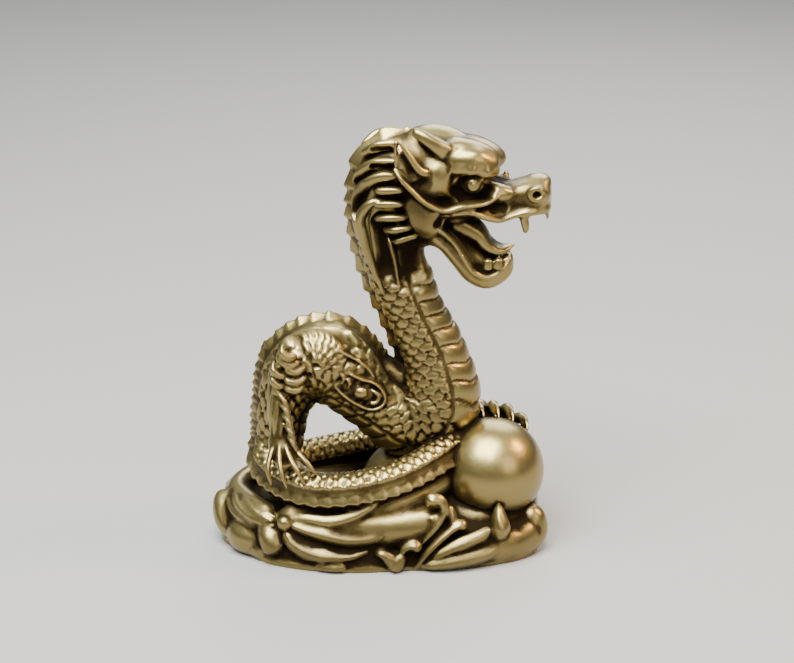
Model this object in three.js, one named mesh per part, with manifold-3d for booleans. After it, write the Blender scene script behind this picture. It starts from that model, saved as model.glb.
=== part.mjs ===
// A small cast brass dragon. It rears up from a low base of waves, arches its back, lays its tail round itself and holds
// a ball under one claw. The whole ornament is one casting, so it is one solid.
// Millimetres, +Z up. The origin is on the table under the middle of the base. The dragon looks along +X, and its right
// flank, the one with the better carving, faces -Y.

import * as THREE from "three";
import { mergeVertices } from "three/addons/utils/BufferGeometryUtils.js";
import Module from "manifold-3d";

const wasm = await Module();
wasm.setup();

// Driving dimensions
const BASE_LENGTH = 44;
const BASE_DEPTH = 26.8;
const BASE_TOP = 7;
const BASE_SQUARE = 2.5; // 2 is an ellipse, and more is squarer
const BALL_RADIUS = 7;
const BALL_CENTRE = [15.1, -2.6, 10.4];
const NECK_CREST = 1.6;
const BACK_CREST = 1.1;
const TAIL_CREST = 0.8;
const BELLY_PLATE = 0.5;

// The tail's oval coil, seen from above
const COIL_CENTRE = [-4.6, 0.2];
const COIL_HALF_LENGTH = 14.8;
const COIL_HALF_DEPTH = 10.2;

const BRASS = new THREE.MeshStandardMaterial({ color: 0xa88e52, roughness: 0.38, metalness: 0.9 });

const NEAR = -1;
const FAR = 1;
const SIDES = [NEAR, FAR];
const TOWARDS_VIEWER = new THREE.Vector3(0, -1, 0);
const COIL_AXLE = new THREE.Vector3(0, -0.3, 1);

// The ends of limbs
const BLUNT_STRETCH = 0.12;
const BLUNT_TIP = 0.02;

// How the far side differs from the near one
const FAR_HEAD_LEVEL = 53;
const FAR_HEAD_SHARE = 0.55;
const FAR_KNEE_LEVEL = 22;
const FAR_SHIN_SHARE = 1.4;
const FAR_LEG_BACK = 1.6;

const radians = THREE.MathUtils.degToRad;

// Value at t of a list spread evenly from 0 to 1
function along(values, t) {
  const place = THREE.MathUtils.clamp(t, 0, 1) * (values.length - 1);
  const first = Math.min(Math.floor(place), values.length - 2);
  return THREE.MathUtils.lerp(values[first], values[first + 1], place - first);
}

// A spine is a smooth curve with a rise direction: the side of it that faces away from the axle it curls about.
function makeSpine(points, axleAt = () => TOWARDS_VIEWER) {
  const curve = new THREE.CatmullRomCurve3(points.map((p) => new THREE.Vector3(...p)), false, "centripetal");
  return (t) => {
    const tangent = curve.getTangent(t);
    const rise = tangent.clone().cross(axleAt(t)).normalize();
    return { point: curve.getPoint(t), rise, side: tangent.clone().cross(rise) };
  };
}

// Bends a straight geometry of height 1 along a spine. section(x, z, t) gives a point's distances [across, up].
function bend(geometry, spine, section) {
  const position = geometry.attributes.position;
  for (let i = 0; i < position.count; i++) {
    const t = position.getY(i) + 0.5;
    const { point, rise, side } = spine(t);
    const [across, up] = section(position.getX(i), position.getZ(i), t);
    point.addScaledVector(side, across).addScaledVector(rise, up);
    position.setXYZ(i, point.x, point.y, point.z);
  }
  return geometry;
}

// A closed geometry as a solid that can be joined and cut
function solid(geometry) {
  const bare = geometry.clone();
  bare.deleteAttribute("normal");
  bare.deleteAttribute("uv");
  const merged = mergeVertices(bare, 1e-4);
  return new wasm.Manifold(
    new wasm.Mesh({
      numProp: 3,
      vertProperties: merged.attributes.position.array,
      triVerts: new Uint32Array(merged.index.array),
    }),
  );
}

// A limb is a round or flattened tube through points, with half widths across it and half heights along its rise.
// Its ends are drawn in over a short stretch, so that they look blunt and not cut.
function limb(points, widths, { heights = widths, sides = 5, steps = 1.5 } = {}) {
  const cylinder = new THREE.CylinderGeometry(1, 1, 1, sides, Math.ceil((points.length - 1) * steps));
  const blunt = (t) => Math.sqrt(THREE.MathUtils.clamp(Math.min(t, 1 - t) / BLUNT_STRETCH, BLUNT_TIP, 1));
  return solid(
    bend(cylinder, makeSpine(points), (x, z, t) => [
      x * along(widths, t) * blunt(t),
      z * along(heights, t) * blunt(t),
    ]),
  );
}

// A rounded lump, its front turned down by a pitch in degrees
function lump([x, y, z], [rx, ry, rz], { pitch = 0, around = 10, rings = 6 } = {}) {
  const sphere = new THREE.SphereGeometry(1, around, rings).scale(rx, ry, rz);
  return solid(sphere.rotateY(radians(pitch)).translate(x, y, z));
}

// A carved form is written once, on the near flank, and laid on either side. On the far side the top of the head is
// lower, and the hind foot reaches further down and back.
const both = (make) => SIDES.map(make).flat();
const onSide = (points, side) => points.map(([x, y, z]) => [x, -side * y, z]);

function onHead(points, side) {
  if (side === NEAR) return points;
  const lower = (z) => (z > FAR_HEAD_LEVEL ? THREE.MathUtils.lerp(FAR_HEAD_LEVEL, z, FAR_HEAD_SHARE) : z);
  return onSide(points, side).map(([x, y, z]) => [x, y, lower(z)]);
}

function onHaunch(points, side) {
  if (side === NEAR) return points;
  const deeper = (z) => (z < FAR_KNEE_LEVEL ? THREE.MathUtils.lerp(FAR_KNEE_LEVEL, z, FAR_SHIN_SHARE) : z);
  return onSide(points, side).map(([x, y, z]) => [x - FAR_LEG_BACK, y, deeper(z)]);
}

// Rows of the body from the nape to the root of the tail: x, z, half width across Y, half height in the side view
const BODY = [
  [6.6, 52.4, 3.6, 4.0],
  [2.2, 51.4, 4.2, 4.9],
  [1.3, 46.4, 4.1, 4.8],
  [1.8, 40.0, 3.7, 4.1],
  [4.3, 32.6, 3.4, 3.6],
  [7.3, 25.4, 4.0, 4.2],
  [7.7, 19.4, 4.8, 5.5],
  [4.6, 16.6, 4.8, 5.3],
  [-0.8, 20.0, 4.3, 4.3],
  [-6.8, 24.7, 4.5, 5.4],
  [-11.0, 23.4, 4.1, 4.6],
  [-13.2, 18.8, 3.4, 3.4],
  [-13.8, 14.2, 3.0, 3.1],
];
const TRUNK_SIDES = 10;
const RINGS_PER_ROW = 4;

// Rows of the tail, a turn and a bit round the coil. Reach and depth are shares of the coil's half length and depth.
const TAIL_ROWS = 9;
const TAIL_TURNS = [198, 588];
const TAIL_HEIGHTS = [10.9, 9.9, 11.2, 13.8, 12.0, 8.5, 6.9, 6.2, 6.2];
const TAIL_REACH = [0.7, 0.74, 0.94, 1.02, 1.0, 0.97, 0.92, 1.0, 0.96];
const TAIL_DEPTH = [0.66, 0.99, 1.02, 1.0, 0.98, 0.99, 0.98, 1.05, 1.24];
const TAIL_WIDTHS = [2.8, 2.2, 2.1, 2.1, 2.1, 1.9, 1.8, 1.6, 1.2];

function tailRow(index) {
  const t = index / (TAIL_ROWS - 1);
  const turn = radians(THREE.MathUtils.lerp(...TAIL_TURNS, t));
  const x = COIL_CENTRE[0] + COIL_HALF_LENGTH * TAIL_REACH[index] * Math.cos(turn);
  const y = COIL_CENTRE[1] + COIL_HALF_DEPTH * TAIL_DEPTH[index] * Math.sin(turn);
  return [x, y, TAIL_HEIGHTS[index], TAIL_WIDTHS[index]];
}

const TAIL = Array.from({ length: TAIL_ROWS }, (_, index) => tailRow(index));
const TRUNK_POINTS = [...BODY.map(([x, z]) => [x, 0, z]), ...TAIL.map(([x, y, z]) => [x, y, z])];
const TRUNK_WIDTHS = [...BODY.map((row) => row[2]), ...TAIL.map((row) => row[3])];
const TRUNK_HEIGHTS = [...BODY.map((row) => row[3]), ...TAIL.map((row) => row[3])];
const LAST_ROW = TRUNK_POINTS.length - 1;
const atRow = (row) => row / LAST_ROW;

// The crest leaves the plane of the body while the tail lies down into its coil.
const trunkSpine = makeSpine(TRUNK_POINTS, (t) =>
  TOWARDS_VIEWER.clone().lerp(COIL_AXLE, THREE.MathUtils.smoothstep(t, atRow(10.5), atRow(14.5))),
);
const CREST_HEIGHTS = TRUNK_POINTS.map((_, row) =>
  row < 5 ? NECK_CREST : row < 8 ? BACK_CREST / 2 : row < 13 ? BACK_CREST : TAIL_CREST,
);
const PLATE_HEIGHTS = TRUNK_POINTS.map((_, row) => (row > 2 && row < 8 ? BELLY_PLATE : 0));
const trunkWidth = (t) => along(TRUNK_WIDTHS, t);
const trunkHeight = (t) => along(TRUNK_HEIGHTS, t);

// Neck, body and tail are one tube. Its top edge is drawn up into the crest, a tooth for every two rings, and its
// lower edge into the plates of the neck and chest.
function trunk() {
  const rings = LAST_ROW * RINGS_PER_ROW;
  const cylinder = new THREE.CylinderGeometry(1, 1, 1, TRUNK_SIDES, rings);
  return solid(
    bend(cylinder, trunkSpine, (x, z, t) => {
      const proud = Math.round(t * rings) % 2;
      const crest = along(CREST_HEIGHTS, t) * (proud ? 1 : 0.45);
      const plate = along(PLATE_HEIGHTS, t) * (proud ? 1 : 0);
      const up = z * trunkHeight(t);
      if (z > 0.99) return [0, up + crest];
      if (z > 0.75) return [Math.sign(x) * 1.2, trunkHeight(t) * 0.97];
      return [x * trunkWidth(t), z < -0.75 ? up - plate : up];
    }),
  );
}

// Head
function skull() {
  const muzzle = [[7, 0, 48.6], [12, 0, 48.5], [16.4, 0, 47.6], [19.6, 0, 47.7], [22.6, 0, 47.4]];
  return [
    lump([7.0, 0, 52.6], [6.2, 4.7, 4.9]),
    lump([11.6, 0, 53.6], [4.6, 4.1, 1.9], { pitch: 20 }),
    lump([9.6, 0, 50.2], [4.6, 4.3, 3.0]),
    lump([5.4, 0, 45.6], [4.2, 4.7, 4.4]),
    limb(muzzle, [4.4, 4.1, 3.2, 2.9, 1.9], { heights: [2.8, 2.2, 1.5, 1.6, 1.4], sides: 10 }),
  ];
}

function lowerJaw() {
  const floor = [
    [4.6, 0, 44.4], [8.4, 0, 43.0], [10.9, 0, 40.2], [13.2, 0, 37.6], [15.6, 0, 36.9], [17.4, 0, 38.6], [17.9, 0, 41.4],
  ];
  const tongue = [[8, 0, 44.2], [12.4, 0, 42], [15.6, 0, 39.9], [18, 0, 41]];
  return [
    limb(floor, [4.6, 4.2, 3.8, 3.4, 2.8, 2.0, 0.8], {
      heights: [2.6, 1.5, 1.3, 1.3, 1.2, 1.0, 0.5],
      sides: 10,
    }),
    limb(tongue, [1.8, 1.8, 1.6, 0.8], { heights: [0.8, 0.7, 0.7, 0.4], steps: 2 }),
  ];
}

function face(side) {
  const place = (points) => onHead(points, side);
  const brow = [[7.4, -3.8, 54.4], [9.4, -4.5, 53.3], [11.6, -4.5, 53.5], [14, -3.8, 52.9], [15.8, -2, 53.2]];
  const moustache = [
    [1.6, -5.4, 53.4], [2.9, -5.7, 51.6], [6.2, -5.9, 48.3], [8.6, -5.3, 47.5], [13, -4.4, 48.1], [17.2, -2.7, 48.8],
  ];
  const upperLip = [[7.4, -4.4, 46.2], [12.3, -4.1, 47], [15.6, -3.3, 45.9], [19.4, -2.8, 46.6], [22.3, -1, 46.2]];
  const lowerLip = [[6.2, -4.3, 45.8], [9.9, -3.6, 43.1], [13.1, -2.9, 38.6], [15.8, -2.2, 37.7], [17.6, -1, 41]];
  const horn = [[10.4, -3.4, 53.6], [8, -3.4, 56.0], [4.7, -2.8, 58.0]];
  const ear = [[5.2, -4.8, 51.6], [4.2, -5.3, 54.0], [2.5, -5.6, 57.2]];
  const fang = [[18.5, -2.6, 47.2], [19.0, -2.7, 43.9]];
  const [eye] = place([[12, -3.7, 50.7]]);
  const [nostril] = place([[20.5, -1.6, 48.5]]);
  const [cheek] = place([[6.6, -3.6, 50.2]]);
  return [
    limb(place(brow), [0.7, 1.0, 1.0, 0.9, 0.7], { steps: 1 }),
    limb(place(moustache), [0.4, 0.7, 0.75, 0.75, 0.75, 0.6], { sides: 4, steps: 1 }),
    limb(place(upperLip), [0.5, 0.7, 0.7, 0.7, 0.6]),
    limb(place(lowerLip), [0.6, 0.7, 0.7, 0.7, 0.5]),
    limb(place(horn), [0.9, 0.9, 0.4], { steps: 1 }),
    limb(place(ear), [0.6, 0.6, 0.3], { heights: [0.9, 1.4, 0.3], sides: 6, steps: 2 }),
    limb(place(fang), [0.8, 0.3]),
    lump(eye, [1.4, 1.1, 1.4], { around: 6, rings: 4 }),
    lump(nostril, [1.5, 1.5, 1.2], { around: 6, rings: 4 }),
    lump(cheek, [3.4, 2.4, 3.2]),
  ];
}

// The mane: five short bars behind the jaw, two long locks down the neck and two locks that run back from the ear.
// The far side, which is plainer, has the longest lock alone.
function mane(side) {
  const bars = [
    [[-0.5, -4.2, 50.1], [3.4, -4.6, 50.3]],
    [[-0.7, -4.2, 48.4], [3.4, -4.7, 48.5]],
    [[-0.6, -4.2, 46.5], [3.8, -4.7, 47]],
    [[0.5, -4.0, 44.8], [4.4, -4.6, 45.3]],
    [[1.8, -3.7, 43.2], [5.2, -4.2, 44.3]],
  ];
  const locks = [
    [[0.3, -4.2, 48.8], [-2.0, -3.6, 47.4], [-1.8, -3.4, 44.8], [-0.7, -3.4, 40.2], [1, -3.0, 35.6]],
    [[0.9, -4.0, 43.6], [1.6, -3.7, 41], [2.4, -3.4, 37.8], [2.9, -3.0, 35.8]],
    [[3.6, -3.6, 55.0], [0.1, -2.5, 54.7], [-2.2, -1.2, 53.6]],
    [[2.8, -4.1, 53], [0.0, -3.6, 52.4], [-2.6, -2.4, 51.3]],
  ];
  return [
    ...(side === NEAR ? bars : []).map((bar) => limb(bar, [0.6, 0.6], { sides: 4 })),
    ...(side === NEAR ? locks : locks.slice(0, 1)).map((lock) =>
      limb(onSide(lock, side), [0.6, 0.9, 0.8, 0.3], { sides: 4, steps: 1 }),
    ),
  ];
}

// Hind leg: haunch, shin and four toes that stand on the tail, with a tuft behind the knee
function hindLeg(side) {
  const place = (points) => onHaunch(points, side);
  const thigh = [[-8.4, -4.2, 27.6], [-11.4, -4.9, 26.4], [-13.6, -5.1, 24.9], [-13.6, -5.6, 23.4]];
  const shin = [[-13.6, -5.1, 25], [-13.6, -6, 21.4], [-13.3, -6.9, 17.8], [-12.9, -7.8, 14.6]];
  const toes = [
    [[-13.3, -7.2, 15.6], [-14.6, -9.2, 14.1], [-13.8, -10.4, 12.0]],
    [[-13.0, -7.4, 15.4], [-13.2, -9.8, 14.7], [-12.0, -11.3, 11.6]],
    [[-12.4, -7.4, 15.4], [-11.7, -9.6, 14.9], [-9.9, -11.0, 11.9]],
    [[-12.2, -7, 15.2], [-10.5, -9, 15], [-8.3, -10.0, 12.4]],
  ];
  const tuft = [[-11.0, -4.2, 26.6], [-12.8, -4.0, 27.4], [-12.2, -3.4, 29.2]];
  const [haunch] = place([[-9.8, -3.4, 26.4]]);
  return [
    lump(haunch, [4.4, 2.3, 3.8], { pitch: -20 }),
    limb(place(thigh), [1.6, 1.8, 1.4, 1.0], { heights: [2.2, 1.9, 1.5, 1.0] }),
    limb(place(shin), [1.3, 1.3, 1.2, 1.5], { heights: [1.5, 1.4, 1.3, 1.5] }),
    ...(side === NEAR ? toes : toes.slice(1)).map((toe) => limb(place(toe), [0.7, 0.7, 0.3], { sides: 4 })),
    limb(place(tuft), [0.8, 0.8, 0.3]),
  ];
}

// A folded flame lies on the near flank, a drop with raised rims and a knob in its middle.
function flankFlame() {
  const lowerRim = [
    [-6.8, -4.4, 24.2], [-4.2, -4.7, 21.5], [-1, -4.7, 19.9], [0.5, -4.8, 21.4], [-1.2, -5, 24], [-4.6, -4.9, 25.9],
  ];
  const upperRim = [[-7.4, -4.2, 29], [-4, -4.6, 27.4], [-1.2, -4.9, 25], [0.3, -4.8, 22.4]];
  return [
    lump([-3.2, -3.7, 23.2], [3.9, 1.2, 2.2], { pitch: 38 }),
    lump([-3.6, -4.9, 23.4], [1.0, 0.8, 0.8], { around: 6, rings: 4 }),
    limb(lowerRim, [0.45, 0.55, 0.55, 0.6, 0.55, 0.45], { sides: 4, steps: 1 }),
    limb(upperRim, [0.6, 0.6, 0.6, 0.5], { sides: 4 }),
  ];
}

// The far foreleg reaches round the chest and lays its claws over the ball.
function foreleg() {
  const arm = [[7.4, 3.4, 20.4], [9.6, 6.2, 18.4], [12.2, 6.6, 15.8], [14.6, 4.2, 15.6]];
  const clawTips = [[13.6, 0.2], [15.6, -0.6], [17.6, -0.4], [19.6, 0.4]];
  const claws = clawTips.map(([x, y]) => {
    const [cx, cy, cz] = BALL_CENTRE;
    const top = cz + Math.sqrt(BALL_RADIUS ** 2 - (x - cx) ** 2 - (y - cy) ** 2);
    const knuckle = [THREE.MathUtils.lerp(cx, x, 0.4), 4.6, THREE.MathUtils.lerp(cz, top, 0.62) + 1];
    return [knuckle, [x - 0.3, y + 2.4, top + 0.7], [x, y, top + 0.2]];
  });
  return [
    limb(arm, [2.2, 1.9, 1.7, 1.6]),
    lump([15.4, 3.6, 15.2], [3.2, 1.8, 1.5]),
    ...claws.map((claw) => limb(claw, [0.9, 0.85, 0.4])),
  ];
}

function ball() {
  return lump(BALL_CENTRE, [BALL_RADIUS, BALL_RADIUS, BALL_RADIUS], { around: 18, rings: 11 });
}

// The base is a low mound of water with a lobed outline, flat below.
function base() {
  const profile = [[0, 0], [1, 0], [1, 0.12], [0.91, 0.42], [0.8, 0.8], [0.6, 0.93], [0, 0.93]];
  const lobes = (turn) =>
    0.985 + 0.03 * Math.cos(5 * turn + 3.2) + 0.02 * Math.cos(turn) + 0.008 * Math.cos(11 * turn);
  const lathe = new THREE.LatheGeometry(profile.map(([r, z]) => new THREE.Vector2(r, z * BASE_TOP)), 32);
  lathe.rotateX(Math.PI / 2);
  const position = lathe.attributes.position;
  for (let i = 0; i < position.count; i++) {
    const [x, y] = [position.getX(i), position.getY(i)];
    const turn = Math.atan2(y, x);
    const squarish = Math.abs(Math.cos(turn)) ** BASE_SQUARE + Math.abs(Math.sin(turn)) ** BASE_SQUARE;
    const reach = squarish ** (-1 / BASE_SQUARE) * lobes(turn);
    position.setXY(i, (x * reach * BASE_LENGTH) / 2, (y * reach * BASE_DEPTH) / 2);
  }
  return solid(lathe);
}

// Swells that carry the chest, the tail and the ball
function swells() {
  const bank = TAIL.slice(1, 7).map(([x, y, z]) => [x * 0.97, y * 0.97, Math.max(z - 3.2, 3)]);
  return [
    lump([5.6, 0.5, 6.5], [8.4, 8.2, 7.0]),
    lump([13.4, -0.6, 5], [8.2, 8.8, 4.6]),
    limb(bank, [2.2, 2.4, 2.6, 2.6, 2.4, 2.2]),
  ];
}

// Curling waves at the right of the front, and plainer ones behind. Each has the points that it runs through and its
// half widths.
function waves() {
  const forms = [
    [
      [[4.6, -11.6, 2.4], [6.6, -11.6, 5.2], [8.2, -10.7, 8.1], [7.3, -10.4, 9.2], [6.5, -10.5, 8.4]],
      [0.9, 0.9, 0.9, 0.8, 0.6],
    ],
    [[[4.6, -12.2, 1], [8.5, -11.6, 5], [10.4, -10.8, 6.3], [11.6, -10.9, 5.8]], [0.9, 1.0, 0.9, 1.0]],
    [[[6.9, -12.3, 1.6], [10.6, -11.6, 3.4], [13.6, -10.8, 4.6], [15.8, -9.6, 5.6]], [0.9, 1.1, 1.0, 0.7]],
    [[[15.0, -10.6, 2.8], [16.6, -9.8, 4.8], [15.4, -9.2, 6.3]], [1.0, 1.1, 1.0]],
    [[[17.0, -8.8, 1.4], [20.0, -6.4, 2.4], [21.0, -3.4, 2.8]], [1.2, 1.6, 1.2]],
    [[[-0.5, -12.0, 2.4], [1.2, -11.9, 3.6], [2.2, -11.9, 2.6]], [0.6, 0.8, 0.5]],
    [[[3.6, -12.1, 2.2], [5.2, -11.5, 4.2], [4.4, -11.2, 5.4]], [0.7, 0.8, 0.6]],
    [[[-21, -0.6, 5.2], [-21.4, -2, 3.4], [-19.6, -5.4, 1.6]], [1.2, 1.3, 0.9]],
    [[[-14.6, -8.6, 4.4], [-14.2, -9.2, 2.4], [-12.6, -9.9, 1]], [1.3, 1.3, 0.9]],
    [[[-19, 5.4, 2.4], [-12, 9.8, 4.4], [-6, 10.8, 5.8], [-4.4, 10.2, 7.2]], [1.0, 1.3, 1.2, 0.8]],
    [
      [[-8, 11.2, 1.6], [1, 11.6, 3.6], [8, 10.4, 5.6], [9.6, 9.4, 7.4], [8.2, 9.2, 8]],
      [1.0, 1.2, 1.2, 0.9, 0.6],
    ],
  ];
  return forms.map(([points, widths]) => limb(points, widths, { sides: 4 }));
}

// The tail ends in flat locks that lie over the left of the front like flames.
function tailLocks() {
  const forms = [
    [[[-13.6, -10, 5.8], [-11, -11.2, 4.2], [-6.5, -12.2, 2.6], [-1.8, -12.7, 3.0]], [1.0, 1.3, 1.3, 0.4]],
    [
      [[-13, -10, 6.4], [-9.9, -11.2, 5.6], [-4.6, -12, 4.4], [-0.6, -12.1, 5.2], [2.7, -11.6, 7]],
      [1.0, 1.1, 1.2, 1.0, 0.3],
    ],
    [[[-12.6, -9.8, 6.8], [-9.2, -11, 6.8], [-3.7, -11.4, 7.8], [-0.2, -11, 9.4]], [1.0, 0.9, 0.9, 0.3]],
  ];
  return forms.map(([points, widths]) => limb(points, widths, { sides: 4 }));
}

const castingSolids = [
  trunk(),
  ...skull(),
  ...lowerJaw(),
  ...both(face),
  ...both(mane),
  ...both(hindLeg),
  ...flankFlame(),
  ...foreleg(),
  ball(),
  base(),
  ...swells(),
  ...waves(),
  ...tailLocks(),
];

function meshGeometry(manifold) {
  const { vertProperties, triVerts } = manifold.getMesh();
  const geometry = new THREE.BufferGeometry();
  geometry.setAttribute("position", new THREE.BufferAttribute(vertProperties, 3));
  geometry.setIndex(new THREE.BufferAttribute(triVerts, 1));
  return geometry;
}

// The floor cuts the underside flat, and the small pockets that the joined forms close in are solid metal.
function castInOne(solids) {
  const below = new THREE.BoxGeometry(2 * BASE_LENGTH, 2 * BASE_LENGTH, BASE_TOP).translate(0, 0, -BASE_TOP / 2);
  const floor = solid(below);
  const shells = wasm.Manifold.union(solids).subtract(floor).decompose();
  return shells.reduce((largest, shell) => (shell.volume() > largest.volume() ? shell : largest));
}

const casting = new THREE.Mesh(meshGeometry(castInOne(castingSolids)), BRASS);
casting.name = "dragon_casting";

const sculpture = new THREE.Group();
sculpture.add(casting);

export default sculpture;
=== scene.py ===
import math

import bmesh
import bpy
import numpy as np
from mathutils import Matrix, Vector
from mathutils.bvhtree import BVHTree


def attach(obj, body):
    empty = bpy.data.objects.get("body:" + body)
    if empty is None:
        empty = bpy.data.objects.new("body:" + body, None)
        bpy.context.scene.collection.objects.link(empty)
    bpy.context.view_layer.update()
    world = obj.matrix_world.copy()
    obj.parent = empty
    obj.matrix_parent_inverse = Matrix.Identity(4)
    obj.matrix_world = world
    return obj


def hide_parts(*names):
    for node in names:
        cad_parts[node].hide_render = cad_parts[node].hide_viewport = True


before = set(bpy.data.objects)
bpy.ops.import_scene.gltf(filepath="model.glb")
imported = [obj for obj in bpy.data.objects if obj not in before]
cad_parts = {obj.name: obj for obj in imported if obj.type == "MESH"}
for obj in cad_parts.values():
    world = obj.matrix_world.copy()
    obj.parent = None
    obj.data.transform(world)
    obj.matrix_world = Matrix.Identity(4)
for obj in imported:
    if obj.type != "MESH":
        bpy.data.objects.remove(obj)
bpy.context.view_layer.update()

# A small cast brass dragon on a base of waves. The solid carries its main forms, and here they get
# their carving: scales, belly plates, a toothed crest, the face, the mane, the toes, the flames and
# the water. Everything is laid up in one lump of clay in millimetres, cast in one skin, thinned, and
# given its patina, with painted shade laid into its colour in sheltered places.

MM = 0.001

# Driving dimensions, in millimetres, as in the solid
BASE_LENGTH = 44
BASE_DEPTH = 26.8
BASE_TOP = 7
BASE_SQUARE = 2.5
BALL_RADIUS = 7
BALL_CENTRE = (15.1, -2.6, 10.4)
COIL_CENTRE = (-4.6, 0.2)
COIL_HALF_LENGTH = 14.8
COIL_HALF_DEPTH = 10.2

# How the far side differs from the near one
FAR_HEAD_LEVEL = 53
FAR_HEAD_SHARE = 0.55
FAR_KNEE_LEVEL = 22
FAR_SHIN_SHARE = 1.4
FAR_LEG_BACK = 1.6

# How fine the skin is
FORM_PITCH = 0.28
TRUNK_PITCH = 0.21
TRUNK_AROUND = 128
CREST_STEP = 0.13
CREST_AROUND = 24
BASE_AROUND = 320
BASE_RINGS = 160
VOXEL = 0.15
MASS_VOXEL = 0.25
MASS_ROUNDS = 14
SKIN_ROUNDS = 3
MOST_TRIANGLES = 192000
# Whatever lies lower than this is set down flat on the table.
FLOOR_SKIN = 0.08

NEAR = -1
FAR = 1
SIDES = (NEAR, FAR)
VIEWER = np.array([0.0, -1.0, 0.0])
COIL_AXLE = np.array([0.0, -0.3, 1.0])
BLUNT_STRETCH = 0.12


# Sums and curves

def unit(vectors):
    return vectors / np.maximum(np.linalg.norm(vectors, axis=-1, keepdims=True), 1e-9)


def along(values, t):
    """The value at t of a list spread evenly from 0 to 1."""
    return np.interp(np.asarray(t) * (len(values) - 1), np.arange(len(values)), values)


def ease(low, high, value):
    """0 below low, 1 above high, and a smooth rise between them."""
    t = np.clip((np.asarray(value, float) - low) / (high - low), 0, 1)
    return t * t * (3 - 2 * t)


def curve_through(points):
    """A centripetal curve. It gives the places and headings at t from 0 to 1."""
    given = np.array(points, float)
    p = np.vstack([2 * given[0] - given[1], given, 2 * given[-1] - given[-2]])
    gap = np.maximum(((p[1:] - p[:-1]) ** 2).sum(1) ** 0.25, 1e-4)[:, None]
    last = len(given) - 1

    def at(t):
        i = np.clip(np.floor(t * last).astype(int), 0, last - 1)
        w = (t * last - i)[:, None]
        a, b, c, d = p[i], p[i + 1], p[i + 2], p[i + 3]
        before, here, after = gap[i], gap[i + 1], gap[i + 2]
        leave = ((b - a) / before - (c - a) / (before + here) + (c - b) / here) * here
        arrive = ((c - b) / here - (d - b) / (here + after) + (d - c) / after) * here
        square = 3 * (c - b) - 2 * leave - arrive
        cube = 2 * (b - c) + leave + arrive
        place = b + leave * w + square * w**2 + cube * w**3
        return place, unit(leave + 2 * square * w + 3 * cube * w**2)

    return at


# Clay: closed forms, each made in a bmesh of its own and laid into one lump

def lay(clay, form):
    mesh = bpy.data.meshes.new("form")
    form.to_mesh(mesh)
    form.free()
    clay.from_mesh(mesh, face_normals=False, vertex_normals=False)
    bpy.data.meshes.remove(mesh)


def skin(clay, around, rows, place):
    """A closed skin from a grid. place(u, v) gives its points for u round it and v along it, each
    from 0 to 1."""
    form = bmesh.new()
    grid = bmesh.ops.create_grid(form, x_segments=around, y_segments=rows, size=0.5)["verts"]
    uv = np.array([vert.co[:2] for vert in grid]) + 0.5
    points = place(uv[:, 0], uv[:, 1])
    points[:, 2] = np.maximum(points[:, 2], 0)
    for vert, point in zip(grid, points.tolist()):
        vert.co = point
    bmesh.ops.remove_doubles(form, verts=grid, dist=1e-4)
    lay(clay, form)


def limb(clay, points, widths, heights=None, around=12, taper=BLUNT_STRETCH, boxy=1.0, axle=VIEWER):
    """A limb through points, round at boxy 1, squarer below it and keeled above it. Widths are halves
    across it, and heights are halves in the plane that the axle stands on, as a rule the side view."""
    heights = heights or widths
    curve = curve_through(points)
    length = np.linalg.norm(np.diff(np.array(points, float), axis=0), axis=1).sum()

    def place(u, v):
        point, heading = curve(v)
        rise = unit(np.cross(heading, axle))
        side = np.cross(heading, rise)
        blunt = np.sqrt(np.clip(np.minimum(v, 1 - v) / taper, 0, 1))
        turn = 2 * math.pi * u
        sine, cosine = (np.sign(wave) * np.abs(wave) ** boxy for wave in (np.sin(turn), np.cos(turn)))
        across = sine * along(widths, v) * blunt
        up = cosine * along(heights, v) * blunt
        return point + side * across[:, None] + rise * up[:, None]

    skin(clay, around, max(10, round(length / FORM_PITCH)), place)


def lump(clay, centre, radii, pitch=0, detail=4):
    """A rounded lump, its front turned down by a pitch in degrees."""
    form = bmesh.new()
    turned = Matrix.Rotation(math.radians(pitch), 4, "Y")
    shape = Matrix.Translation(centre) @ turned @ Matrix.Diagonal((*radii, 1))
    made = bmesh.ops.create_icosphere(form, subdivisions=detail, radius=1, matrix=shape)["verts"]
    for vert in made:
        vert.co.z = max(vert.co.z, 0)
    lay(clay, form)


def strands(clay, spine, reach, count, thick, turns, axle=VIEWER):
    """Thin locks that wind round a spine."""
    t = np.linspace(0, 1, 9)
    place, heading = curve_through(spine)(t)
    rise = unit(np.cross(heading, axle))
    side = np.cross(heading, rise)
    out = along(reach, t)
    for k in range(count):
        turn = 2 * math.pi * (k / count + turns * t)
        path = place + side * (np.sin(turn) * out)[:, None] + rise * (np.cos(turn) * out)[:, None]
        limb(clay, path.tolist(), (thick * 0.6, thick, thick * 0.5), axle=axle)


def on_side(points, side):
    return [(x, -side * y, z) for x, y, z in points]


def stretched(z, level, above, below):
    """Stretches heights away from a level, by one share above it and another below it."""
    return level + (z - level) * (above if z > level else below)


def on_head(points, side):
    if side == NEAR:
        return points
    lower = [(x, y, stretched(z, FAR_HEAD_LEVEL, FAR_HEAD_SHARE, 1)) for x, y, z in points]
    return on_side(lower, side)


def on_haunch(points, side):
    if side == NEAR:
        return points
    deeper = [(x - FAR_LEG_BACK, y, stretched(z, FAR_KNEE_LEVEL, 1, FAR_SHIN_SHARE)) for x, y, z in points]
    return on_side(deeper, side)


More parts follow.
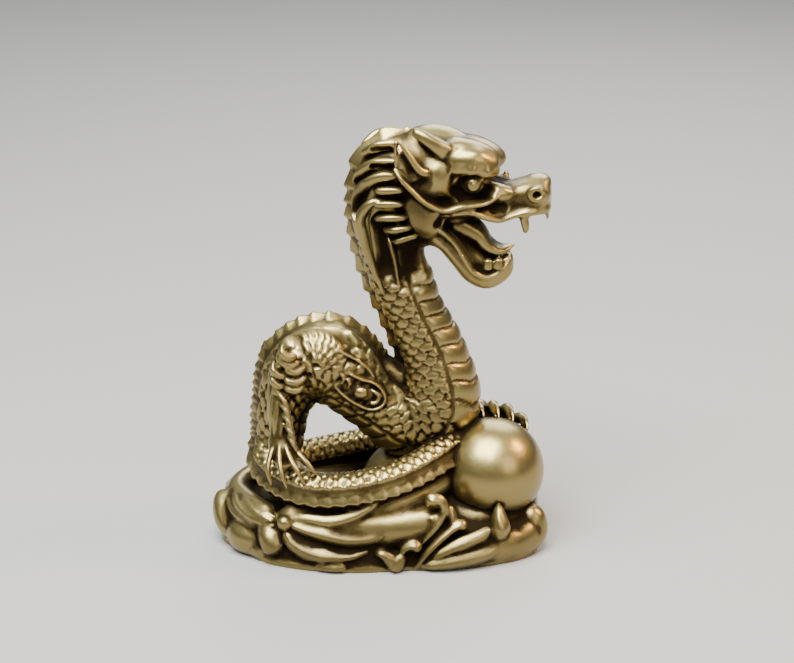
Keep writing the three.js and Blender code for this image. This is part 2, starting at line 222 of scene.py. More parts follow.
# The body, from the nape to the root of the tail: x, z, half width across Y, half height in the
# side view
BODY = [
    (6.6, 52.4, 3.6, 4.0), (2.2, 51.4, 4.2, 4.9), (1.3, 46.4, 4.0, 4.8), (1.8, 40.0, 3.6, 4.1),
    (4.3, 32.6, 3.4, 3.6), (7.3, 25.4, 4.0, 4.2), (7.7, 19.4, 4.8, 5.5), (4.6, 16.6, 4.8, 5.3),
    (-0.8, 20.0, 4.3, 4.3), (-6.8, 24.7, 4.5, 5.4), (-11.0, 23.4, 4.1, 4.6), (-13.2, 18.8, 3.4, 3.4),
    (-13.8, 14.2, 3.0, 3.1),
]
# The tail, a turn and a bit round the coil
TAIL_ROWS = 9
TAIL_TURNS = (198, 588)
TAIL_HEIGHTS = (10.9, 9.9, 11.2, 13.8, 12.0, 8.5, 6.9, 6.2, 6.2)
TAIL_REACH = (0.7, 0.74, 0.94, 1.02, 1.0, 0.97, 0.92, 1.0, 0.96)
TAIL_DEPTH = (0.66, 0.99, 1.02, 1.0, 0.98, 0.99, 0.98, 1.05, 1.24)
TAIL_WIDTHS = (2.8, 2.2, 2.1, 2.1, 2.1, 1.9, 1.8, 1.6, 1.2)


def tail_row(index):
    turn = math.radians(np.interp(index, (0, TAIL_ROWS - 1), TAIL_TURNS))
    x = COIL_CENTRE[0] + COIL_HALF_LENGTH * TAIL_REACH[index] * math.cos(turn)
    y = COIL_CENTRE[1] + COIL_HALF_DEPTH * TAIL_DEPTH[index] * math.sin(turn)
    return x, y, TAIL_HEIGHTS[index]


TAIL = [tail_row(index) for index in range(TAIL_ROWS)]
TRUNK_POINTS = [(x, 0, z) for x, z, _, _ in BODY] + TAIL
TRUNK_WIDTHS = [row[2] for row in BODY] + list(TAIL_WIDTHS)
TRUNK_HEIGHTS = [row[3] for row in BODY] + list(TAIL_WIDTHS)
LAST_ROW = len(TRUNK_POINTS) - 1
# Up to the first row the crest stands in the middle plane, and from the second it faces out of the
# coil.
UPRIGHT_ROW = 10.5
COILED_ROW = 14.5

# Carving of the trunk. Rows count from the nape, 0, over the chest, 6, and the hump, 9, to the tip of
# the tail, 21.
CREST_ROWS = (0, 2.5, 3.6, 4.8, 5.6, 7.5, 8.3, 9.0, 10.4, 11.4, 12.5, 13.5, 21)
CREST_BAND = (0.7, 0.9, 0.9, 0.8, 0.0, 0.0, 0.6, 0.5, 0.6, 0.6, 0.6, 0.5, 0.3)
CREST_TEETH = (0.6, 0.5, 0.5, 0.5, 0.1, 0.1, 0.35, 0.4, 0.35, 0.4, 0.4, 0.25, 0.2)
CREST_PITCH = (1.3, 2.0, 2.6, 2.8, 2.4, 1.4, 1.1, 0.85, 0.85, 1.0, 1.3, 1.6, 1.6)
CREST_FOOT = 2.7
CREST_EDGE = 0.2
CREST_ROOT = 2.3
CREST_WAVE = 0.12
CREST_THIN_ROWS = (12, 14, 21)
CREST_THIN = (1, 0.75, 0.5)
# A tooth rises to its tip over this share of its pitch, and falls off steeply after it.
TOOTH_RISE = 0.75
TOOTH_TIP = 0.78
TOOTH_CURVE = 1.3
SMOOTH_ROWS = (3.4, 5, 6.4, 7.4, 8.4, 12, 21)
SMOOTH_HALF = (1.5, 1.8, 2.7, 3.0, 2.2, 1.7, 1.7)
BELLY_ROWS = (0, 3, 7.5, 9.5, 12.5, 14, 21)
BELLY_HALF_ANGLE = (1.25, 1.25, 1.2, 0.8, 0.6, 0.01, 0.01)
PLATE_PITCH = 2.25
PLATE_SKEW = 0.35
PLATE_HEIGHT = 0.5
PLATES_FROM = (3.2, 3.5)
PLATES_UNTIL = (12, 13)
CORD_HEIGHT = 0.34
CORD_WIDTH = 0.3
# Scales, as length and width: round on the neck and flanks, long on the falling back, and small on
# the tail
ROUND_SCALE = (1.0, 2.0)
LONG_SCALE = (1.25, 1.5)
SMALL_SCALE = (0.8, 1.7)
SCALE_DEPTH = 0.62
SCALE_TILT = 0.42
SCALE_FADE = 2.1
SCALE_CROWN = 0.15
ROUND_OVERLAP = 1.15
POINT_OVERLAP = 1.4
GROOVE_DEPTH = 0.75
GROOVE_WIDTH = 0.17
FALL_ROWS = (9.8, 10.4)
TAIL_ROOT_ROWS = (12.6, 13.2)
TAIL_TIP_ROWS = (18.9, 19.4)
# The first row of scales starts later further from the crest, to make room for the mane.
FIRST_SCALES_REACH = (2.2, 4.2)
FIRST_SCALES_ROW = (2.0, 3.2)
# On top of the body, from the chest to the hump, the scales are worn, up to this reach from the crest.
WORN_FROM = (6.4, 7.1)
WORN_UNTIL = (8.2, 8.8)
WORN_REACH = (4.2, 5.4)
HUMP_ROW = 9.3
HUMP_SPREAD = 0.95
HUMP_LIFT = 1.3
HUMP_ROUND = 0.8
# The haunch and the flames that fan out on it, in the side view: x, z, and radians from the front
HAUNCH = (-9.2, 26.6)
HAUNCH_SWELL = 1.2
HAUNCH_REACH = (3.6, 3.2)
HAUNCH_FRONT_ROWS = (7.8, 8.2)
HAUNCH_BACK_ROWS = (11, 11.4)
# Where the flank starts below the crest and where it ends, in radians round the trunk
FLANK_TOP = (0.25, 0.6)
FLANK_FOOT = (1.9, 2.3)
FLAME_HUB = (-8.6, 26.0)
FLAME_FAN = (0.25, 2.25)
# How far out each tier of flames starts, and how many it has
FLAME_TIERS = ((0.7, 4), (1.8, 6), (2.9, 9))
FLAMES_OUT = (5.2, 5.8)
FLAME_BLUR = 0.3
FLAME_STEPS = ((0, 0.14), (0.5, -0.16), (1.1, -0.1), (1.7, 0.34))
# No blade reaches above this level or behind this place.
FLAMES_END = {NEAR: 31.2, FAR: 29.4}
FLAMES_BACK = -12.4


def trunk_path():
    """The trunk by arc length: t at a share of the way along it, the run in millimetres at t, and the
    whole length."""
    fine = np.linspace(0, 1, 4001)
    places, _ = curve_through(TRUNK_POINTS)(fine)
    run = np.concatenate([[0], np.cumsum(np.linalg.norm(np.diff(places, axis=0), axis=1))])
    return lambda v: np.interp(v * run[-1], run, fine), lambda t: np.interp(t, fine, run), run[-1]


T_AT, RUN_AT, TRUNK_LENGTH = trunk_path()
TRUNK_CURVE = curve_through(TRUNK_POINTS)


def trunk_frame(t):
    point, heading = TRUNK_CURVE(t)
    turn = ease(UPRIGHT_ROW / LAST_ROW, COILED_ROW / LAST_ROW, t)[:, None]
    rise = unit(np.cross(heading, VIEWER * (1 - turn) + COIL_AXLE * turn))
    return point, rise, np.cross(heading, rise)


def scale_field(run, across, scale, pointed=False):
    """How proud the scales stand, from 0 to 1. They lie in rows like tiles, each over the root of the
    next, and a dark groove runs along the edge of each."""
    length, width = scale
    first = np.floor(run / length)
    proud = np.zeros_like(run)
    past = np.full_like(run, 1e3)
    open_ = np.ones_like(run, bool)
    for step in (-2, -1, 0, 1):
        row = first + step
        lane = across / width - 0.5 * (row % 2)
        off = 2 * np.abs(lane - np.round(lane))
        if pointed:
            reach, slope = length * (1 - off) * POINT_OVERLAP, 2 * POINT_OVERLAP * length / width
        else:
            round_ = np.sqrt(np.clip(1 - off**2, 0, 1))
            reach = ROUND_OVERLAP * length * round_
            slope = 2 * ROUND_OVERLAP * length / width * off / (round_ + 0.1)
        left = row * length + reach - run
        here = open_ & (left >= 0)
        lift = 1 - SCALE_TILT * np.clip(left / (SCALE_FADE * length), 0, 1)
        proud = np.where(here, lift * (1 - SCALE_CROWN * off**2), proud)
        past = np.where(open_ & ~here, np.minimum(past, -left / np.sqrt(1 + slope**2)), past)
        open_ &= ~here
    return proud * (1 - GROOVE_DEPTH * np.exp(-(past / GROOVE_WIDTH) ** 2))


def hump_lift(row):
    """The back stands higher above the haunches, on its upper side only."""
    return HUMP_LIFT * np.exp(-((row - HUMP_ROW) / HUMP_SPREAD) ** 2)


def haunch_swell(x, z):
    east, up = (x - HAUNCH[0]) / HAUNCH_REACH[0], (z - HAUNCH[1]) / HAUNCH_REACH[1]
    return HAUNCH_SWELL * np.exp(-(east**2) - up**2)


def haunch_relief(x, z, angle, row):
    """The swell of the haunch, and where its flames lie, which is clear of scales."""
    east = x + FAR_LEG_BACK * (angle > 0)
    flank = ease(*FLANK_TOP, np.abs(angle)) * (1 - ease(*FLANK_FOOT, np.abs(angle)))
    flank *= ease(*HAUNCH_FRONT_ROWS, row) * (1 - ease(*HAUNCH_BACK_ROWS, row))
    from_hub, above_hub = east - FLAME_HUB[0], z - FLAME_HUB[1]
    out, turn = np.hypot(from_hub, above_hub), np.arctan2(above_hub, from_hub)
    fan = (1 - ease(*FLAMES_OUT, out)) * ease(-FLAME_BLUR, 0, turn - FLAME_FAN[0])
    fan *= ease(-FLAME_BLUR, 0, FLAME_FAN[1] - turn)
    return flank * haunch_swell(east, z), flank * fan


def trunk_relief(t, run, angle, girth, x, z):
    """How far the carving stands out of the trunk. The angle runs from the crest, below 0 on the near
    side."""
    row = t * LAST_ROW
    across = angle * girth
    reach = np.abs(across)
    belly = math.pi - np.interp(row, BELLY_ROWS, BELLY_HALF_ANGLE)
    from_plates = (belly - np.abs(angle)) * girth

    on_tail = ease(*TAIL_ROOT_ROWS, row)
    on_fall = ease(*FALL_ROWS, row) * (1 - on_tail)
    scales = scale_field(run, across, ROUND_SCALE) * (1 - on_fall) * (1 - on_tail)
    scales += scale_field(run, across, LONG_SCALE, pointed=True) * on_fall
    scales += scale_field(run, across, SMALL_SCALE) * on_tail
    start = np.interp(reach, FIRST_SCALES_REACH, FIRST_SCALES_ROW)
    clear = ease(0, 0.25, row - start) * (1 - ease(*TAIL_TIP_ROWS, row))
    worn = 1 - 0.5 * ease(*WORN_FROM, row) * (1 - ease(*WORN_UNTIL, row)) * (1 - ease(*WORN_REACH, reach))
    smooth = np.interp(row, SMOOTH_ROWS, SMOOTH_HALF)
    carved = scales * clear * worn * ease(0, 0.3, reach - smooth) * ease(0.15, 0.5, from_plates)
    swell, fan = haunch_relief(x, z, angle, row)
    relief = SCALE_DEPTH * carved * (1 - fan) + swell

    # A smooth cord runs between the scales and the plates.
    plated = ease(*PLATES_FROM, row) * (1 - ease(*PLATES_UNTIL, row))
    relief += CORD_HEIGHT * plated * np.exp(-((from_plates + 0.05) / CORD_WIDTH) ** 2)
    share = ((run - PLATE_SKEW * np.clip(-from_plates, 0, 3)) / PLATE_PITCH) % 1
    pillow = ease(0, 0.12, share) * (1 - ease(0.9, 1, share)) * (0.75 + 0.25 * np.sin(math.pi * share))
    relief += PLATE_HEIGHT * pillow * plated * ease(0.1, 0.5, -from_plates)
    return relief


def trunk(clay, carved):
    """Neck, body and tail as one tube, plain or with its scales and plates."""
    rows = round(TRUNK_LENGTH / TRUNK_PITCH)

    def place(u, v):
        t = T_AT(v)
        point, rise, side = trunk_frame(t)
        width, height = along(TRUNK_WIDTHS, t), along(TRUNK_HEIGHTS, t)
        angle = 2 * math.pi * (u - 0.5)
        blunt = np.sqrt(np.clip(np.minimum(v, 1 - v) * TRUNK_LENGTH / 2, 0, 1))
        across, up = np.sin(angle) * width * blunt, np.cos(angle) * height * blunt
        up += hump_lift(t * LAST_ROW) * np.clip(np.cos(angle), 0, 1) ** HUMP_ROUND
        if carved:
            plain = point + side * across[:, None] + rise * up[:, None]
            girth = (width + height) / 2
            relief = trunk_relief(t, RUN_AT(t), angle, girth, plain[:, 0], plain[:, 2]) * blunt
            outward = unit(np.stack([np.sin(angle) / width, np.cos(angle) / height], -1))
            across, up = across + outward[:, 0] * relief, up + outward[:, 1] * relief
        return point + side * across[:, None] + rise * up[:, None]

    skin(clay, TRUNK_AROUND, rows, place)


def crest(clay):
    """The crest is a fin along the back, a smooth band below and hooked teeth above."""
    rows = round(TRUNK_LENGTH / CREST_STEP)
    fine = np.linspace(0, 1, 4001)
    pitch_there = np.interp(fine * LAST_ROW, CREST_ROWS, CREST_PITCH)
    count = np.concatenate([[0], np.cumsum(np.diff(RUN_AT(fine)) / pitch_there[1:])])

    def place(u, v):
        t = T_AT(v)
        point, rise, side = trunk_frame(t)
        row = t * LAST_ROW
        share = np.interp(t, fine, count) % 1
        tooth = np.clip(share / TOOTH_RISE, 0, 1) ** TOOTH_CURVE * (1 - ease(TOOTH_TIP, 1, share))
        ends = np.sqrt(np.clip(np.minimum(v / 0.03, (1 - v) / 0.02), 0, 1))
        top = np.interp(row, CREST_ROWS, CREST_BAND) + np.interp(row, CREST_ROWS, CREST_TEETH) * tooth
        angle = 2 * math.pi * u
        share_up = (1 - np.cos(angle)) / 2
        small = np.interp(row, CREST_THIN_ROWS, CREST_THIN)
        thick = (CREST_FOOT * (1 - share_up) ** 0.8 + CREST_EDGE * share_up) * small
        wave = CREST_WAVE * (tooth - 0.4) * share_up
        root = -CREST_ROOT * small
        up = along(TRUNK_HEIGHTS, t) + hump_lift(row) + root + (top * ends - root) * share_up
        across = np.sin(angle) * thick * ends + wave * ends
        return point + side * across[:, None] + rise * up[:, None]

    skin(clay, CREST_AROUND, rows, place)


# The head

def skull(clay):
    """The masses of the head, before its face is drawn."""
    muzzle = [(7, 0, 48.6), (11, 0, 48.6), (14.2, 0, 48.1), (17.2, 0, 48.1), (20, 0, 48.3),
              (22.5, 0, 48.0)]
    palate = [(7.4, 0, 46.6), (11.4, 0, 47.0), (14.4, 0, 46.8), (17.2, 0, 46.9), (20.2, 0, 46.9),
              (22.6, 0, 46.7)]
    lump(clay, (7.0, 0, 52.6), (6.2, 4.4, 5.0))
    lump(clay, (8.4, 0, 55.4), (2.4, 2.2, 1.8), pitch=8)
    lump(clay, (12.0, 0, 53.9), (4.6, 3.4, 2.1), pitch=12)
    lump(clay, (9.8, 0, 50.2), (5.2, 3.7, 3.2))
    lump(clay, (5.4, 0, 45.6), (4.1, 4.6, 4.4))
    limb(clay, muzzle, (4.0, 3.9, 3.3, 2.8, 2.9, 2.4), (2.4, 2.0, 1.8, 1.8, 2.4, 2.1), around=36,
         taper=0.08, boxy=0.7)
    limb(clay, palate, (4.3, 4.5, 4.0, 3.1, 3.0, 2.4), (0.9, 0.9, 0.8, 0.7, 0.7, 0.6), around=36,
         taper=0.06, boxy=0.6)
    lump(clay, (20.4, 0, 49.6), (2.1, 2.4, 1.4), pitch=-14)
    for side in SIDES:
        brow = [(8.8, -3.4, 53.2), (10.4, -3.9, 54.0), (12.2, -3.9, 54.0), (13.8, -3.2, 53.1),
                (14.9, -2.3, 52.9)]
        temple = [(6.2, -2.9, 55.0), (6.9, -3.5, 52.8), (8.0, -3.8, 50.6), (9.8, -3.7, 49.2)]
        limb(clay, on_head(brow, side), (1.4, 1.8, 1.9, 1.8, 1.5), (1.5, 1.6, 1.7, 1.7, 1.5), around=20)
        limb(clay, on_head(temple, side), (1.6, 1.8, 1.6, 1.0), (2.2, 2.6, 2.3, 1.3), around=24,
             taper=0.4)
        for centre, radii, pitch in (
            ((11.4, -2.6, 54.3), (4.2, 2.4, 2.0), 12),
            ((9.9, -4.9, 52.9), (0.9, 0.8, 0.8), 0),
            ((11.7, -5.4, 53.0), (1.0, 0.8, 0.75), 0),
            ((13.6, -4.7, 52.6), (1.1, 0.9, 0.9), 0),
            ((14.6, -2.3, 49.1), (2.8, 1.5, 1.4), 4),
            ((5.6, -3.3, 46.7), (2.9, 2.0, 3.7), -14),
            ((5.8, -3.6, 50.6), (2.8, 1.6, 2.4), 0),
            ((20.4, -1.7, 48.8), (1.9, 1.6, 1.6), 0),
        ):
            lump(clay, on_head([centre], side)[0], radii, pitch=pitch)


def jaw(clay):
    floor = [(4.6, 0, 44.4), (8.2, 0, 42.8), (10.5, 0, 40.1), (12.2, 0, 37.9), (14.2, 0, 37.0),
             (16.2, 0, 38.1), (17.3, 0, 40.5)]
    bed = [(6.8, 0, 43.8), (9.6, 0, 42.6), (12.2, 0, 40.4), (14.2, 0, 39.0), (16.2, 0, 39.3)]
    limb(clay, floor, (4.4, 4.0, 3.6, 3.2, 2.9, 2.4, 1.4), (2.4, 1.5, 1.5, 1.5, 1.4, 1.3, 0.9),
         around=30, boxy=0.75)
    limb(clay, bed, (3.4, 3.0, 2.7, 2.4, 1.7), (1.6, 1.5, 1.4, 1.4, 1.2), around=24)


def tongue_and_teeth(clay):
    tongue = [(7.6, -0.2, 45.2), (10.8, -0.2, 44.4), (12.8, -0.2, 43.2), (14.2, -0.3, 41.6),
              (15.8, -0.4, 40.9), (17.9, -0.4, 41.5)]
    limb(clay, tongue, (2.6, 2.8, 2.6, 2.4, 1.9, 0.5), (1.6, 1.5, 1.3, 0.9, 0.6, 0.25), around=24,
         boxy=0.8)
    lump(clay, (9.4, 0.4, 45.7), (3.6, 3.5, 1.7), pitch=10)
    for x, y in ((14.1, -2.3), (15.5, -2.0), (16.7, -1.3)):
        limb(clay, [(x, y, 38.4), (x + 0.1, y, 40.3)], (0.7, 0.6), (0.68, 0.55), boxy=0.7, taper=0.2)


def face(clay, side):
    brow = [(8.6, -4.0, 53.0), (9.9, -4.6, 54.0), (11.6, -4.7, 54.2), (13.4, -4.2, 53.4),
            (14.6, -3.3, 52.5), (15.2, -1.9, 53.0)]
    lid = [(9.6, -4.6, 50.4), (10.1, -4.9, 51.9), (11.6, -5.1, 52.7), (13.3, -4.7, 52.3),
           (14.2, -4.0, 51.6)]
    fold = [(9.0, -4.3, 55.0), (10.2, -4.8, 54.7), (11.2, -4.9, 55.1), (12.2, -4.8, 55.0),
            (13.0, -4.3, 54.5)]
    scratch = [(9.4, -2.6, 56.4), (10.6, -2.8, 56.1), (11.8, -2.7, 55.9)]
    moustache = [(1.7, -5.3, 53.3), (2.9, -5.7, 51.8), (4.2, -5.9, 50.4), (5.9, -5.9, 48.8),
                 (8.3, -5.6, 47.7), (10.6, -5.1, 48.1), (13.6, -4.3, 48.3), (15.9, -3.3, 49.1)]
    upper_lip = [(7.4, -4.5, 46.2), (9.7, -4.7, 47.0), (11.8, -4.5, 47.1), (13.6, -4.1, 46.3),
                 (15.6, -3.5, 45.8), (17.5, -3.1, 46.3), (19.5, -2.8, 46.6), (22.1, -1.6, 46.2)]
    lower_lip = [(6.4, -4.3, 45.4), (8.2, -4.2, 44.3), (9.8, -3.8, 42.6), (11.0, -3.5, 40.6),
                 (12.3, -3.1, 38.5), (14.2, -2.7, 37.7), (16.4, -1.9, 38.9), (17.2, -1.1, 40.8)]
    gum = [(8.2, -3.2, 44.9), (9.9, -3.0, 43.2), (11.3, -2.8, 41.2), (12.4, -2.6, 39.4)]
    horn = [(9.0, -3.7, 54.6), (7.4, -4.0, 55.8), (5.5, -3.8, 57.0), (4.2, -3.4, 57.7)]
    horn_edge = [(9.0, -3.8, 55.6), (7.2, -4.3, 56.7), (5.4, -4.0, 57.7), (4.1, -3.4, 58.0)]
    ear_front = [(6.4, -5.2, 52.4), (5.2, -5.7, 53.0), (3.9, -5.8, 54.9), (2.3, -5.5, 57.2)]
    ear_rear = [(2.3, -4.9, 52.6), (2.1, -5.2, 54.6), (2.1, -5.4, 57.0)]
    ear_bowl = [(4.6, -4.9, 51.2), (3.6, -5.1, 53.2), (2.7, -5.2, 55.6)]
    fang = [(18.4, -2.6, 47.0), (18.9, -2.8, 45.0), (19.0, -2.8, 43.7)]
    tooth = [(21.8, -1.3, 46.4), (21.9, -1.3, 45.2)]

    def strip(points, widths, heights=None, **more):
        limb(clay, on_head(points, side), widths, heights, **more)

    strip(brow, (0.5, 0.7, 0.8, 0.9, 0.9, 0.5), (0.5, 0.7, 0.75, 0.9, 0.95, 0.6), around=16)
    strip(lid, (0.35, 0.45, 0.45, 0.45, 0.3), (0.35, 0.4, 0.42, 0.4, 0.3))
    strip(fold, (0.35, 0.45, 0.45, 0.4, 0.25), (0.22, 0.3, 0.3, 0.28, 0.2), boxy=1.3)
    strip(scratch, (0.3, 0.35, 0.25), (0.16, 0.2, 0.14), boxy=1.3)
    if side == NEAR:
        strip(moustache, (0.4, 0.6, 0.65, 0.7, 0.75, 0.75, 0.7, 0.5),
              (0.3, 0.38, 0.4, 0.42, 0.46, 0.46, 0.42, 0.3), boxy=1.2)
    else:
        strip(moustache[:-1], (0.4, 0.6, 0.65, 0.7, 0.75, 0.75, 0.5),
              (0.3, 0.38, 0.4, 0.42, 0.46, 0.46, 0.3), boxy=1.2)
        lump(clay, (16.6, 2.6, 49.9), (0.4, 0.4, 0.9), detail=3)
    strip(upper_lip, (0.4, 0.55, 0.6, 0.6, 0.6, 0.6, 0.6, 0.5),
          (0.3, 0.38, 0.42, 0.4, 0.4, 0.42, 0.5, 0.4))
    strip(lower_lip, (0.5, 0.6, 0.6, 0.6, 0.6, 0.6, 0.55, 0.3),
          (0.34, 0.38, 0.4, 0.42, 0.45, 0.5, 0.4, 0.25), boxy=1.15)
    strip(gum, (0.4, 0.5, 0.5, 0.3), (0.24, 0.3, 0.3, 0.22), boxy=1.2)
    strip(horn, (0.9, 1.1, 1.0, 0.6), (1.1, 0.95, 0.75, 0.45), boxy=0.6, taper=0.08, around=20)
    strip(horn_edge, (0.4, 0.4, 0.35, 0.25), (0.26, 0.26, 0.25, 0.22))
    strip(ear_front, (0.7, 0.65, 0.55, 0.3), (0.75, 0.56, 0.46, 0.26), boxy=1.2)
    strip(ear_rear, (0.4, 0.35, 0.22), (0.3, 0.28, 0.2), boxy=1.2)
    strip(ear_bowl, (0.5, 0.45, 0.3), (1.9, 1.3, 0.35), around=20)
    strip(fang, (0.6, 0.6, 0.35), (0.62, 0.58, 0.34))
    strip(tooth, (0.35, 0.2), (0.3, 0.2))

    nostril = [
        (20.3 + 0.85 * math.cos(a), -3.2, 49.1 + 0.75 * math.sin(a))
        for a in np.linspace(0, 6.2, 13)
    ]
    strip(nostril, (0.34,) * 3, (0.42,) * 3, around=8)


def eye(clay, side):
    """The eye is ringed like a bead, in a deep socket."""
    def bead(centre, size):
        lump(clay, on_head([centre], side)[0], (size,) * 3)

    bead((11.95, -4.1, 50.9), 1.2)
    bead((12.05, -5.2, 50.95), 0.3)
    for y, reach, thick in ((-4.4, 1.38, 0.24), (-5.1, 0.64, 0.17)):
        ring = [(12 + reach * math.cos(a), y, 50.9 + reach * math.sin(a)) for a in np.linspace(0, 6.2, 15)]
        limb(clay, on_head(ring, side), (thick,) * 3, around=8)


def mane(clay, side):
    """Bars behind the jaw, locks down the neck and ribs on the nape."""
    bars = [
        [(-0.6, -4.5, 50.0), (1.2, -5.0, 50.2), (3.2, -5.0, 50.2)],
        [(-0.7, -4.5, 48.1), (1.0, -5.0, 48.4), (3.2, -5.0, 48.3)],
        [(-0.7, -4.5, 46.1), (1.2, -5.0, 46.5), (3.6, -4.9, 46.5)],
        [(0.4, -4.4, 44.5), (2.1, -4.9, 44.9), (4.2, -4.8, 45.1)],
        [(1.7, -4.2, 42.9), (3.2, -4.6, 43.4), (5.0, -4.4, 43.8)],
    ]
    long_lock = [(0.6, -4.6, 48.9), (-1.2, -4.6, 48.3), (-2.4, -4.3, 46.4), (-2.2, -4.2, 44.0),
                 (-1.4, -4.1, 41.2), (-0.5, -4.0, 38.6), (0.9, -3.8, 34.7)]
    short_lock = [(1.0, -4.3, 43.8), (1.7, -4.4, 41.4), (2.1, -4.2, 39.2), (2.6, -3.9, 36.4)]
    ribs = [[(2.6, -3.6, 55.9), (-0.4, -3.0, 55.4), (-2.4, -1.7, 54.0)],
            [(2.4, -4.5, 53.8), (-0.4, -3.8, 53.5), (-2.5, -2.6, 51.9), (-3.2, -2.0, 49.9)],
            [(2.4, -4.8, 52.0), (0.2, -4.6, 51.9), (-1.8, -3.8, 50.6), (-3.0, -2.8, 48.4),
             (-3.0, -2.6, 45.4), (-2.2, -2.7, 42.0)]]
    for bar in bars:
        limb(clay, on_side(bar, side), (0.6, 0.7, 0.5), (0.46, 0.52, 0.34), taper=0.12, boxy=0.8)
    limb(clay, on_side(long_lock, side), (0.5, 0.6, 0.6, 0.6, 0.55, 0.5, 0.15),
         (0.4, 0.6, 0.75, 0.7, 0.6, 0.45, 0.12), boxy=1.15)
    limb(clay, on_side(short_lock, side), (0.4, 0.5, 0.4, 0.12), (0.3, 0.35, 0.3, 0.1), boxy=1.2)
    for rib, size in zip(ribs, (0.75, 0.7, 0.7)):
        limb(clay, on_side(rib, side), (0.5, 0.6, 0.5), (size, size, 0.5))


# Legs

# Curls of hair above the knee in the side view, from root to tip, and how far out they lie
TUFTS = [
    [(-10.9, 27.9), (-11.9, 27.8), (-12.7, 28.5), (-12.7, 29.8)],
    [(-10.4, 27.0), (-11.9, 26.8), (-13.0, 27.5), (-13.2, 28.9)],
    [(-9.8, 26.3), (-11.0, 25.8), (-12.0, 26.1), (-12.5, 27.1)],
    [(-11.7, 25.5), (-13.0, 25.3), (-13.9, 26.1), (-13.9, 27.4)],
    [(-9.6, 25.0), (-10.9, 24.4), (-12.1, 24.7), (-12.6, 25.7)],
    [(-11.8, 24.1), (-13.1, 23.9), (-14.0, 24.6), (-14.2, 25.9)],
    [(-9.9, 23.8), (-11.0, 23.2), (-12.1, 23.5), (-12.6, 24.4)],
    [(-11.8, 22.8), (-12.8, 22.5), (-13.7, 23.2), (-13.9, 24.4)],
]
TUFT_OUT = (5.4, 6.3, 6.5, 5.8)
SHIN = [(-13.6, -5.1, 25), (-13.6, -6, 21.4), (-13.3, -6.9, 17.8), (-12.9, -7.8, 14.8)]


def leg_masses(clay, side):
    thigh = [(-8.8, -4.4, 25.2), (-11.2, -5.0, 25.2), (-13.2, -5.2, 24.4), (-13.6, -5.6, 23.2)]
    foot = [(-13.4, -6.6, 17.6), (-12.8, -8.2, 15.4), (-11.8, -9.4, 13.4)]
    limb(clay, on_haunch(thigh, side), (0.9, 1.0, 0.9, 0.9), (2.0, 2.2, 1.8, 1.2), around=20)
    limb(clay, on_haunch(SHIN, side), (1.0, 1.0, 0.9, 1.0), (1.3, 1.2, 1.1, 1.1), around=20)
    limb(clay, on_haunch(foot, side), (1.1, 1.0, 0.6), (1.6, 1.9, 1.6), around=20)


def hind_leg(clay, side):
    toes = [
        [(-13.4, -6.9, 17.4), (-14.4, -8.8, 15.0), (-14.7, -10.0, 13.2), (-14.1, -10.5, 11.0)],
        [(-13.1, -7.1, 17.2), (-13.2, -9.6, 15.0), (-12.8, -11.0, 13.2), (-12.0, -11.5, 10.9)],
        [(-12.8, -7.1, 17.2), (-11.9, -9.5, 15.2), (-10.8, -10.8, 13.6), (-9.6, -11.1, 11.4)],
        [(-12.4, -6.9, 17.0), (-10.8, -8.9, 15.5), (-9.4, -9.9, 14.2), (-7.8, -10.2, 12.2)],
    ]
    for toe in toes if side == NEAR else toes[1:3]:
        limb(clay, on_haunch(toe, side), (0.5, 0.5, 0.45, 0.14), (0.46, 0.42, 0.36, 0.13), boxy=1.3)
    for tuft in TUFTS if side == NEAR else TUFTS[4:]:
        curl = [(x, -y, z) for (x, z), y in zip(tuft, TUFT_OUT)]
        limb(clay, on_haunch(curl, side), (0.7, 0.7, 0.6, 0.2), (0.5, 0.66, 0.54, 0.15), around=16,
             boxy=1.2)
    strands(clay, on_haunch(SHIN, side), (0.8, 1.0, 0.95, 0.7), 8, 0.42, 0.3)
    for k in range(5):
        out, down = 0.42 * k, 1.35 * k
        hair = [(-13.5 + 0.32 * k, -6.5 - out, 23.2 - down), (-12.4 + 0.28 * k, -7.3 - out, 21.9 - down),
                (-11.7 + 0.26 * k, -7.2 - out, 20.2 - down)]
        limb(clay, on_haunch(hair, side), (0.4, 0.45, 0.15), (0.32, 0.36, 0.13), boxy=1.25)


def foreleg(clay):
    """The far foreleg reaches round the chest and lays its claws over the ball."""
    arm = [(7.4, 3.4, 20.4), (9.6, 6.2, 18.4), (12.2, 6.6, 15.8), (14.6, 4.2, 15.6)]
    limb(clay, arm, (2.2, 1.9, 1.7, 1.6), around=20)
    lump(clay, (15.4, 3.6, 15.2), (3.2, 1.8, 1.5))
    for x, y in ((13.6, 0.2), (15.6, -0.6), (17.6, -0.4), (19.6, 0.4)):
        cx, cy, cz = BALL_CENTRE
        top = cz + math.sqrt(BALL_RADIUS**2 - (x - cx) ** 2 - (y - cy) ** 2)
        knuckle = (cx + (x - cx) * 0.4, 4.6, cz + (top - cz) * 0.62 + 1)
        limb(clay, [knuckle, (x - 0.3, y + 2.4, top + 0.7), (x, y, top + 0.2)], (0.85, 0.8, 0.35))
        limb(clay,
             [(x - 0.2, y + 3.0, top + 1.0), (x + 0.2, y + 0.8, top + 1.1),
              (x + 0.4, y - 0.8, top + 0.1)],
             (0.3, 0.3, 0.15))


# Base

BASE_PROFILE = ((0, 0), (1, 0), (1.0, 0.08), (0.985, 0.12), (0.955, 0.28), (0.905, 0.52), (0.83, 0.8),
                (0.6, 0.95), (0, 0.95))


